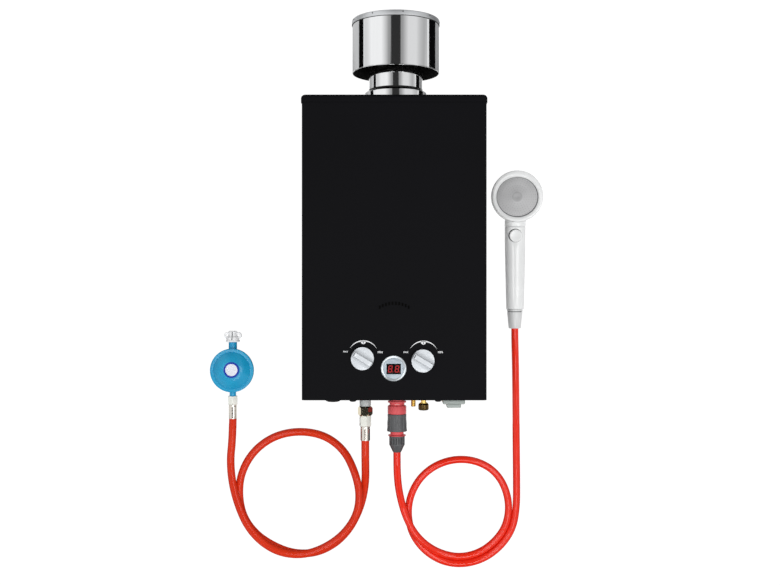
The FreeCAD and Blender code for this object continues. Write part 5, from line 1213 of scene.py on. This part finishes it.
@dataclass
class GasUnion(Assembly):
    """Gas inlet, union nut, tail and ferrule at the heater, and the hose's regulator end."""

    axis: Pair = (-53.8, 60.0)
    regulator_axis: Pair = (-308.3, 18.0)

    def inlet(self) -> None:
        """Turns the threaded inlet with its hexagon on the bottom plate."""
        outline = [*thread(8.0, 0.7, -304.3, -293.5, 1.5), *thread(10.8, 0.7, -293.3, -263.5, 1.9),
                   (10.3, -263.0), (10.3, -233.0)]
        inlet = drilled("inlet_thread", outline, 4.5)
        nut = hexagon("inlet_hexagon", *PLATE_HEXAGON)
        self.stand(inlet, THREAD_ZINC, "nickel", "gas_inlet_fitting")
        self.stand(nut, THREAD_ZINC, "nickel")

    def nut(self) -> None:
        """Cuts the union nut."""
        nut = hexagon("union_hexagon", 24.0, -310.6, -293.6, turn=25.0, chamfer=0.14)
        carve(nut, rod("bore", 8.3, -308.2, -290.0, 64))
        carve(nut, rod("throat", 6.5, -314.0, -300.0, 64))
        self.stand(nut, UNION_PLATE, "nickel", "gas_union_nut", body="union_nut")

    def ferrule(self, name: str, radius: float, low: float, high: float) -> Piece:
        """Turns a crimped ferrule with a rolled end."""
        return turned(name, ((radius - 0.7, low), (radius - 0.1, low + 0.5), (radius, low + 1.2),
                             (radius, low + 1.8), (radius, high - 4.4), (radius, high - 3.8),
                             (radius - 0.3, high - 3.2), (radius - 0.3, high - 2.4),
                             (radius, high - 1.8),
                             (radius - 0.1, high - 0.6), (radius - 0.9, high)))

    def build(self) -> None:
        """Builds both ends of the gas hose."""
        self.inlet()
        self.nut()
        tail = joined([
            hexagon("tail_hexagon", 20.0, -330.9, -310.9, turn=12.0, chamfer=0.1),
            turned("stem", ((6.2, -310.9), (6.2, -307.9), (7.7, -307.9), (7.7, -304.3)), sides=64)])
        self.stand(tail, ZINC_WHITE, "nickel", "gas_hose_fittings")
        self.stand(self.ferrule("tail_ferrule", 8.8, -357.7, -330.9), FERRULE_PLATE, "nickel",
                   "gas_hose_fittings")
        self.stand(block("tail_tick", (-0.5, -9.75, -320.0), (0.5, -9.3, -317.6)), SEAM_AND_SHADOW_GREY,
                   "nickel")
        for piece, finish in ((hexagon("outlet_hexagon", 17.0, -295.0, -278.4, turn=6.0,
                                       chamfer=0.1),
                               ZINC_WHITE),
                              (self.ferrule("outlet_ferrule", 7.9, -322.3, -295.0), FERRULE_PLATE),
                              (block("outlet_tick", (-0.5, -8.85, -288.2), (0.5, -8.4, -286.0)),
                               SEAM_AND_SHADOW_GREY)):
            self.stand(piece, finish, "nickel", "gas_hose_fittings", at=self.regulator_axis)


@dataclass
class QuickConnector(Assembly):
    """Tap adaptor, release sleeve, core and hose nut on the hot water outlet."""

    axis: Pair = (5.6, 60.0)

    def adaptor(self) -> None:
        """Turns the red adaptor with a flange under the cabinet and a gripping slot."""
        outline = ((8.2, -332.0), (8.2, -307.5), (16.6, -307.5), (17.5, -306.6), (17.5, -293.2),
                   (17.0, -292.3), (14.6, -291.4), (14.0, -290.8), (14.0, -286.9), (14.5, -286.4),
                   (16.8, -286.2), (17.2, -285.7), (17.2, -284.0), (16.8, -283.5), (14.0, -283.2),
                   (14.0, -262.7))
        body = drilled("tap_adaptor_body", outline, 4.0, sides=128)
        carve(body, rod("thread_room", 10.65, -286.2, -250.0, 64))
        slot = soften(block("slot", (-4.6, -16.0, -290.0), (4.6, -12.9, -287.6)), 0.6, 3)
        carve(body, slot)
        self.stand(body, RED_PLASTIC, "red_plastic", "tap_adaptor")
        floor = soften(block("adaptor_slot_floor", (-4.4, -13.4, -289.8), (4.4, -12.6, -287.8)),
                       0.2)
        self.stand(floor, PALE_RED, "red_plastic")

    def sleeve(self) -> None:
        """Turns the release sleeve with a waved outline and finger grooves."""
        top, low, steps = -307.8, -340.0, 20
        outline = [(18.0, low), (18.7, low + 0.7)]
        for step in range(1, steps):
            share = step / steps
            wave = 0.5 + 0.5 * math.cos(2 * math.pi * (share * 2.0 + 0.02))
            outline.append((18.3 - share + 0.35 * wave, low + 0.7 + share * (top - low - 1.4)))
        outline += [(17.7, top - 0.7), (17.0, top)]
        sleeve = drilled("sleeve_grip", outline, 16.3, sides=14 * 12)
        grooved(sleeve, 14, 0.3, (low + 3.4, top - 3.0), 0.978, 0.15)
        self.stand(sleeve, DARK_GREY, "dark_grey_plastic", "release_sleeve",
                   body="connector_sleeve",
                   smooth=20.0)

    def core(self) -> None:
        """Turns the red core with its thin flange."""
        outline = ((11.0, -360.6), (11.0, -348.6), (16.2, -348.6), (16.8, -348.2), (16.8, -347.4),
                   (16.2, -346.9), (13.0, -346.3), (12.5, -345.6), (12.3, -341.2), (13.2, -340.2),
                   (16.0, -339.6), (16.0, -313.0))
        core = drilled("connector_band", outline, 4.0, sides=128)
        carve(core, rod("socket", 8.4, -332.2, -300.0, 64))
        self.stand(core, RED_PLASTIC, "red_plastic", "connector_core")

    def nut(self) -> None:
        """Turns the ribbed nut and its cone, and paints shade into its rib grooves in black
        plastic.
        """
        ribs = 18
        outline = ((7.3, -379.2), (7.9, -378.6), (13.6, -366.8), (14.2, -365.9), (14.5, -365.0),
                   (14.5, -363.6), (14.5, -363.3), (14.5, -351.6), (14.5, -351.3), (14.5, -349.6),
                   (13.8, -348.9))
        nut = drilled("hose_clamp_nut", outline, 7.0, sides=ribs * 10)
        carve(nut, rod("room", 11.3, -360.9, -340.0, 64))
        grooved(nut, ribs, 0.4, (-363.4, -351.4), 0.88)
        self.stand(nut, DARK_GREY, "dark_grey_plastic", "connector_nut", body="hose_nut",
                   smooth=20.0)
        # The faces in the rib grooves take black plastic: painted shade in the grooves.
        middle = Vector((self.axis[0], -357.5, self.axis[1])) * MM
        self.paint(nut, BLACK_PLASTIC, lambda face: (face.center - middle).xz.length < 13.6 * MM
                   and abs(face.center.y - middle.y) < 6.2 * MM)

    def build(self) -> None:
        """Builds the connector from the cabinet down."""
        self.adaptor()
        self.sleeve()
        self.core()
        self.nut()


@dataclass
class WaterFittings(Assembly):
    """Water nipples, relief valve and drain stub under the cabinet."""

    inlet: Pair = (70.0, 32.0)
    outlet: Pair = (5.6, 60.0)
    relief: Pair = (55.3, 60.0)
    drain: Pair = (36.2, 60.0)

    def nipples(self) -> None:
        """Turns both pipe threads and their hexagons."""
        for name, at, low, high in (("cold", self.inlet, -284.5, -232.0),
                                    ("hot", self.outlet, -286.0, -249.2)):
            outline = [(9.6, low), *thread(10.45, 0.8, low + 0.6, -263.0, 1.8), (11.5, -262.5),
                       (11.5, high)]
            self.stand(drilled(f"{name}_nipple", outline, 6.0), BRASS, "brass", "water_nipples",
                       at=at)
            self.stand(hexagon(f"{name}_hexagon", *PLATE_HEXAGON), BRASS, "brass", at=at)

    def relief_valve(self) -> None:
        """Turns the relief valve's stem and its knurled cap."""
        stem = turned("relief_stem", ((3.4, -296.5), (3.5, -289.0), (3.5, -288.6), (4.9, -288.0),
                                      (4.9, -281.5), (3.5, -281.0), (3.5, -232.0)), sides=64)
        self.stand(stem, BRASS, "brass", "relief_valve_body", at=self.relief)
        outline = ((6.6, -301.0), (8.6, -300.4), (9.6, -299.0), (9.75, -298.2), (9.75, -298.0),
                   (9.75, -291.2), (9.75, -291.0), (9.5, -289.8), (8.4, -288.1), (7.0, -287.5))
        cap = turned("relief_knurl", outline, sides=12 * 12)
        grooved(cap, 12, 0.4, (-298.1, -291.1), 0.92)
        carve(cap, rod("bore", 3.8, -296.8, -280.0, 48))
        self.stand(cap, BRONZE, "bronze", "relief_valve_cap", body="relief_cap", at=self.relief,
                   smooth=20.0)
        self.stand(drilled("relief_washer", ((7.2, -287.4), (7.2, -286.6)), 3.6), BRASS, "brass",
                   at=self.relief)

    def drain_stub(self) -> None:
        """Turns the drain stub with its thread."""
        outline = [(3.6, -293.9), (4.4, -293.2), *thread(4.4, 0.35, -292.8, -281.0, 1.1),
                   (4.0, -280.4),
                   (4.0, -232.0)]
        self.stand(turned("drain_thread", outline, sides=64), BRASS, "brass", "drain_stub",
                   at=self.drain)

    def build(self) -> None:
        """Builds all the water fittings."""
        self.nipples()
        self.relief_valve()
        self.drain_stub()


@dataclass
class BatteryBox(Assembly):
    """Front of the battery drawer with its grip."""

    body: str = "battery_tray"
    left: float = 89.0
    right: float = 129.8
    back: float = 32.6
    front: float = 107.4
    low: float = -285.1
    lip: float = -276.6
    grip_half: float = 13.0
    ribs: int = 4
    rib_pitch: float = 6.0
    tray_end: float = -212.2
    inset: float = 1.8
    wall: float = 1.2

    def build(self) -> None:
        """Shapes the drawer's front plate, grip and tray."""
        low, lip, end = self.low, self.lip, self.tray_end
        inset, wall = self.inset, self.wall
        plate = block("drawer_front", (self.left, low, self.back), (self.right, lip, self.front))
        soften(plate, 2.6, 4)
        middle = (self.left + self.right) / 2
        grip = block("grip", (middle - self.grip_half, -291.3, self.front - 30.0),
                     (middle + self.grip_half, low + 1.0, self.front))
        soften(grip, 1.6, 4)
        for step in range(self.ribs):
            z = self.front - self.rib_pitch - step * self.rib_pitch
            rib = block("rib", (middle - 9.0, -292.0, z - 0.9), (middle + 9.0, -290.5, z + 0.9))
            carve(grip, soften(rib, 0.4))
        carve(plate, grip, Cut.TOGETHER)
        tray = block("tray", (self.left + inset, lip - 0.5, self.back + inset),
                     (self.right - inset, end, self.front - inset))
        room = block("room", (self.left + inset + wall, lip + wall, self.back + inset + wall),
                     (self.right - inset - wall, end - wall, self.front + 5.0))
        carve(tray, room)
        carve(plate, tray, Cut.TOGETHER)
        self.fit(set_down(plate), GREY_PLASTIC, "light_grey_plastic", "battery_drawer")


@dataclass
class Regulator(Assembly):
    """Gas regulator: bowl, domed cover, badge, necks and the cylinder's wing nut."""

    x: float = -308.3
    y: float = -228.9
    axis_z: float = 18.0
    badge_shift: Pair = (1.2, 1.8)
    seat: float = 30.3
    dome_flat: float = 15.2
    dome_reach: float = 19.2
    crown: float = 44.0

    def bowl(self) -> None:
        """Turns the bowl and the two necks."""
        bowl = turned("regulator_bowl", (
            (22.5, 0.0), (24.0, 1.0), (24.0, 3.6), (26.0, 6.0), (30.0, 9.4), (33.0, 12.6),
            (34.6, 16.0),
            (35.0, 20.0), (35.4, 24.2), (37.0, 25.7), (40.8, 26.0), (41.5, 26.7), (41.5, 28.8),
            (41.0, 29.4)), sides=128)
        inlet = turned("neck", ((7.85, 0.0), (7.85, 52.8), (7.2, 53.5), (5.0, 53.5), (5.0, 59.5)),
                       sides=96)
        outlet = rod("neck", 6.25, 0.0, -49.5, 96)
        for neck in (inlet, outlet):
            moved(neck, turn=Axis.Y.value)
            carve(bowl, moved(neck, shift=(0.0, 0.0, self.axis_z)), Cut.TOGETHER)
        carve(bowl, rod("room", self.seat, 28.1, 40.0, 96))
        soften(bowl, 0.5, 3, 50.0)
        self.fit(set_down(bowl, (self.x, self.y, 0.0)), REGULATOR_BLUE, "regulator_blue",
                 "regulator_body")

    def cover(self) -> None:
        """Turns the domed cover with its rolled rim, and hollows it."""
        base = 29.6
        outer = [(41.0, base), (41.5, base + 0.5), (41.5, base + 2.4), (41.0, base + 3.1),
                 (40.0, base + 3.4), (36.0, base + 3.4), (35.5, base + 2.9), (34.9, base + 2.9),
                 (34.4, base + 3.6)]
        crown, steps = self.crown, 14
        for step in range(1, steps + 1):
            left = 1 - step / steps
            outer.append((self.dome_flat + self.dome_reach * left,
                          crown - (crown - base - 3.6) * left ** 1.6))
        cover = turned("regulator_dome", outer, sides=160)
        carve(cover, rod("room", self.seat, base - 1.0, 32.3, 96))
        carve(cover, rod("room", 9.0, base - 1.0, 42.0, 64))
        self.fit(set_down(cover, (self.x, self.y, 0.0), smooth=40.0), REGULATOR_BLUE,
                 "regulator_blue",
                 "regulator_cover")

    def badge(self) -> None:
        """Turns the plain badge: a blue ring round a bare white disc."""
        ring = turned("badge_ring", ((11.4, 43.2), (15.0, 43.2), (15.0, 44.15), (14.5, 44.35),
                                     (11.9, 44.35), (11.4, 44.15)), sides=96, closed=True)
        place = (self.x + self.badge_shift[0], self.y + self.badge_shift[1], 0.0)
        self.fit(set_down(ring, place), BADGE_BLUE, "regulator_blue")
        disc = turned("badge_disc", ((11.6, 43.2), (11.6, 44.1), (11.2, 44.18), (6.0, 44.26)),
                      sides=96)
        self.fit(set_down(disc, place), BADGE_WHITE, "regulator_blue")

    def wing_nut(self) -> None:
        """Cuts the wing nut: barrel, flange and two loops."""
        low, high = -175.1, -154.1
        barrel = turned("cylinder_wing_nut", (
            (12.6, low), (13.3, low + 0.8), (13.3, low + 2.4), (12.3, low + 3.0), (12.0, low + 8.6),
            (10.4, low + 10.4), (8.6, low + 11.4), (8.3, high - 1.2), (7.3, high)), sides=96)
        for side in (-1.0, 1.0):
            loop = turned("loop", ((4.9, -2.4), (6.3, -1.4), (6.3, 1.4), (4.9, 2.4)), sides=48)
            carve(loop, rod("eye", 2.4, -5.0, 5.0, 32))
            moved(loop, turn=(math.pi / 2, 0.0, 0.0))
            moved(loop, shift=(side * 10.7, 0.0, high - 8.5))
            carve(barrel, loop, Cut.TOGETHER)
        carve(barrel, block("witness_slot", (-0.9, -15.0, low + 3.6), (0.9, -7.4, high - 1.6)))
        carve(barrel, rod("spigot_room", 5.3, low - 2.0, low + 6.0, 48))
        carve(barrel, rod("thread_room", 5.9, high - 12.0, high + 2.0, 48))
        soften(barrel, 0.3, 2, 40.0)
        at = (self.x, self.axis_z)
        self.stand(barrel, CAST_ZINC, "zinc_casting", "cylinder_nut", body="wing_nut", at=at)
        # A dark grey strip on the slot's floor is painted shade in the slot.
        floor = soften(block("slot_floor", (-0.8, -7.6, low + 3.7), (0.8, -7.2, high - 1.7)), 0.1)
        self.stand(floor, SEAM_AND_SHADOW_GREY, "zinc_casting", body="wing_nut", at=at)

    def build(self) -> None:
        """Builds the regulator."""
        self.bowl()
        self.cover()
        self.badge()
        self.wing_nut()


@dataclass
class Handset(Assembly):
    """Shower handset: handle, button, head, ring, spray plate and cone nut."""

    x: float = 231.6
    z: float = 15.5
    head_x: float = 234.0
    head_y: float = 102.0
    radius: float = 48.8
    opening: Pair = (39.5, 37.9)
    opening_drop: float = 1.6
    button_y: float = 27.5
    pocket_radius: float = 12.9
    pocket_drift: float = 0.4
    nozzle_rows: tuple[tuple[float, int], ...] = (
        (13.5, 16), (17.8, 22), (22.1, 28), (26.4, 33), (30.7, 39), (34.6, 44))
    handle: tuple[tuple[float, float, float], ...] = (
        (-112.3, 16.0, 13.6), (-110.8, 16.5, 14.0), (-84.0, 17.1, 14.1), (-56.0, 17.8, 14.2),
        (-26.0, 18.5, 14.35), (4.0, 19.1, 14.5), (30.0, 19.3, 14.5), (44.0, 19.3, 14.5),
        (44.8, 18.9, 14.1))

    def grip(self) -> None:
        """Lofts the handle with its spigot, cuts the button's pocket and paints shadow on the
        pocket's walls.
        """
        rings = [(10.3, 10.3, -124.3, 0.0, 0.0), (10.3, 10.3, -112.3, 0.0, 0.0)]
        rings += [(wide + 0.4, deep, y, 0.6, 0.0) for y, wide, deep in self.handle]
        grip = lofted("handset_grip", rings, sides=128)
        moved(grip, turn=Axis.Y.value)
        drift, pocket = self.pocket_drift, rod("pocket", self.pocket_radius, 0.5, 30.0, 96)
        carve(grip, moved(pocket, shift=(-drift, self.button_y + drift, 0.0)))
        soften(grip, 0.35, 2, 50.0)
        self.fit(set_down(grip, (self.x, 0.0, self.z), smooth=40.0), WHITE_ABS, "white_plastic",
                 "handset_handle")
        middle = Vector((self.x - drift, self.button_y + drift, self.z + 5.0)) * MM
        # The walls of the button's pocket are painted dark grey: painted shadow in the gap.
        self.paint(grip, SEAM_AND_SHADOW_GREY, lambda face: (face.center - middle).xy.length < 13.0 * MM
                   and face.center.z > middle.z - 6.0 * MM and abs(face.normal.z) < 0.3)

    def button(self) -> None:
        """Turns the stop button with a dished top."""
        cap = turned("button_cap", ((11.6, 24.0), (12.0, 24.4), (12.0, 31.6), (11.7, 32.6),
                                    (11.0, 33.1),
                                    (10.0, 33.2), (8.0, 32.9), (5.0, 32.5), (1.0, 32.4)), sides=96)
        self.fit(set_down(cap, (self.x, self.button_y, 0.0), smooth=40.0), WHITE_ABS,
                 "white_plastic",
                 "stop_button", body="handset_button")

    def head(self) -> None:
        """Blends the domed head and its neck into one smooth shell."""
        radius = self.radius
        outline = [(20.0, 0.0), (22.0, 0.3)]
        steps = 12
        for step in range(1, steps + 1):
            angle = step / steps * math.pi / 2
            outline.append((22.0 + (radius - 22.0) * math.sin(angle),
                            24.0 - 23.6 * math.cos(angle)))
        outline += [(radius, 30.9)]
        dome = turned("head_shell", outline, sides=128)
        moved(dome, shift=(self.head_x - self.x, self.head_y, -self.z))
        neck = lofted("neck", [(19.9, 14.5, 45.0, 0.6, 0.0), (20.1, 14.5, 49.0, 0.7, 0.0),
                               (20.2, 14.2, 56.0, 1.1, -0.6), (20.7, 13.6, 66.0, 1.9, -1.6),
                               (22.0, 12.4, 76.0, 2.4, -3.0), (22.0, 10.5, 84.0, 2.4, -4.6)],
                      sides=96)
        moved(neck, turn=Axis.Y.value)
        joined([dome, neck])
        tool(dome, "REMESH", mode="VOXEL", voxel_size=1.1, adaptivity=0.0)
        tool(dome, "SMOOTH", factor=0.5, iterations=8)
        self.fit(set_down(dome, (self.x, 0.0, self.z), smooth=60.0), WHITE_ABS, "white_plastic",
                 "handset_head")

    def face(self) -> None:
        """Lofts the ring round its opening, the spray plate, its nozzles and the gap's painted
        shadow.
        """
        outer, (wide, high), drop = self.radius, self.opening, -self.opening_drop
        place = (self.head_x, self.head_y, 0.0)
        ring = lofted("head_bezel", (
            (wide, high, 31.0, 0.0, drop), (outer - 0.4, outer - 0.4, 31.0, 0.0, 0.0),
            (outer, outer, 31.4, 0.0, 0.0), (outer, outer, 37.0, 0.0, 0.0),
            (outer - 0.3, outer - 0.3, 38.3, 0.0, 0.0), (outer - 1.0, outer - 1.0, 39.3, 0.0, 0.0),
            (outer - 2.4, outer - 2.5, 40.0, 0.0, -0.1),
            (wide + 3.2, high + 3.6, 39.8, 0.0, drop * 0.6),
            (wide + 0.8, high + 0.8, 38.6, 0.0, drop), (wide, high, 37.6, 0.0, drop)),
            sides=160, closed=True)
        self.fit(set_down(ring, place, smooth=50.0), WHITE_ABS, "white_plastic", "head_ring")
        # A dark ring in the gap between the ring and the spray plate is painted shadow.
        joint = lofted("plate_gap_shadow", (
            (wide - 3.0, high - 3.0, 36.6, 0.0, drop), (wide - 0.02, high - 0.02, 36.6, 0.0, drop),
            (wide - 0.02, high - 0.02, 37.2, 0.0, drop), (wide - 3.0, high - 3.0, 37.2, 0.0, drop)),
            sides=128, closed=True)
        self.fit(set_down(joint, place), SEAM_AND_SHADOW_GREY, "grey_plate")
        rings = [(wide - 6.0, high - 6.0, 31.0), (wide - 6.0, high - 6.0, 35.0),
                 (wide - 1.1, high - 1.1, 35.0), (wide - 1.1, high - 1.1, 37.6),
                 (wide - 1.7, high - 1.7, 38.0), (26.0, 25.4, 38.25), (9.6, 9.6, 38.35),
                 (9.0, 9.0, 38.8), (8.4, 8.4, 38.9), (3.0, 3.0, 38.9), (2.4, 2.4, 38.6),
                 (1.0, 1.0, 38.6)]
        plate = lofted("spray_face", [(x, y, z, -0.4, drop + 0.4) for x, y, z in rings], sides=160)
        self.fit(set_down(plate, place, smooth=40.0), GREY_PLATE, "grey_plate", "spray_plate")
        middle = Vector((self.head_x, self.head_y + drop, 0.0)) * MM
        self.paint(plate, PLATE_CENTRE, lambda face: (face.center - middle).xy.length < 9.8 * MM
                   and face.center.z > 38.3 * MM)
        rows = []
        for radius, count in self.nozzle_rows:
            nozzle = turned("nozzle", ((0.62, 38.0), (0.5, 38.62), (0.3, 38.72)), sides=10)
            rows.append(around(moved(nozzle, shift=(radius, 0.0, 0.0)), count))
        nozzles = moved(joined(rows), shift=(0.0, drop, 0.0))
        nozzles.name = "spray_nozzles"
        self.fit(set_down(nozzles, place, smooth=60.0), NOZZLE_GREY, "grey_plate")

    def cone(self) -> None:
        """Turns the cone nut that holds the hose, with a ring of painted shade in its groove."""
        outline = ((11.3, -149.2), (11.75, -148.6), (14.6, -118.4), (14.5, -117.9), (13.3, -117.8),
                   (13.3, -116.6), (14.9, -116.4), (14.9, -113.2), (14.3, -112.6))
        nut = drilled("cone_grip", outline, 7.0, sides=120)
        carve(nut, rod("room", 10.6, -124.6, -100.0, 64))
        at = (self.x, self.z)
        self.stand(nut, SOFT_WHITE, "white_plastic", "hose_cone_nut", body="cone_nut", at=at)
        # A dark grey ring in the groove is painted shade.
        shade_ring = turned("cone_groove_shadow", ((13.2, -117.7), (13.7, -117.7), (13.7, -116.7), (13.2, -116.7)),
                      sides=96, closed=True)
        self.stand(shade_ring, SEAM_AND_SHADOW_GREY, "white_plastic", body="cone_nut", at=at)

    def build(self) -> None:
        """Builds the handset."""
        self.grip()
        self.button()
        self.head()
        self.face()
        self.cone()


def main() -> None:
    """Builds the studio and dresses every sub-assembly in order."""
    logging.basicConfig(level=logging.INFO, format="%(name)s: %(message)s")
    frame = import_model()
    Studio().build()
    GAS_HOSE.build()
    SHOWER_HOSE.build()
    Cabinet().build(frame)
    Flue().build()
    ControlKnob(body="heat_control", name="heat_dial", node="heat_knob",
                at=(-56.5, -198.0)).build()
    ControlKnob(body="flow_control", name="flow_dial", node="flow_knob", at=(51.0, -202.0)).build()
    DisplayFace().build()
    PanelPrint(name="heat", scale_at=(-55.0, -192.5),
               words=(("MAX", -86.5, -186.0), ("MIN", -25.0, -187.0))).build()
    PanelPrint(name="flow", scale_at=(52.0, -193.3),
               words=(("MAX", 20.8, -187.0), ("MIN", 82.2, -187.0))).build()
    GasUnion().build()
    QuickConnector().build()
    WaterFittings().build()
    BatteryBox().build()
    Regulator().build()
    Handset().build()


if __name__ == "__main__":
    main()
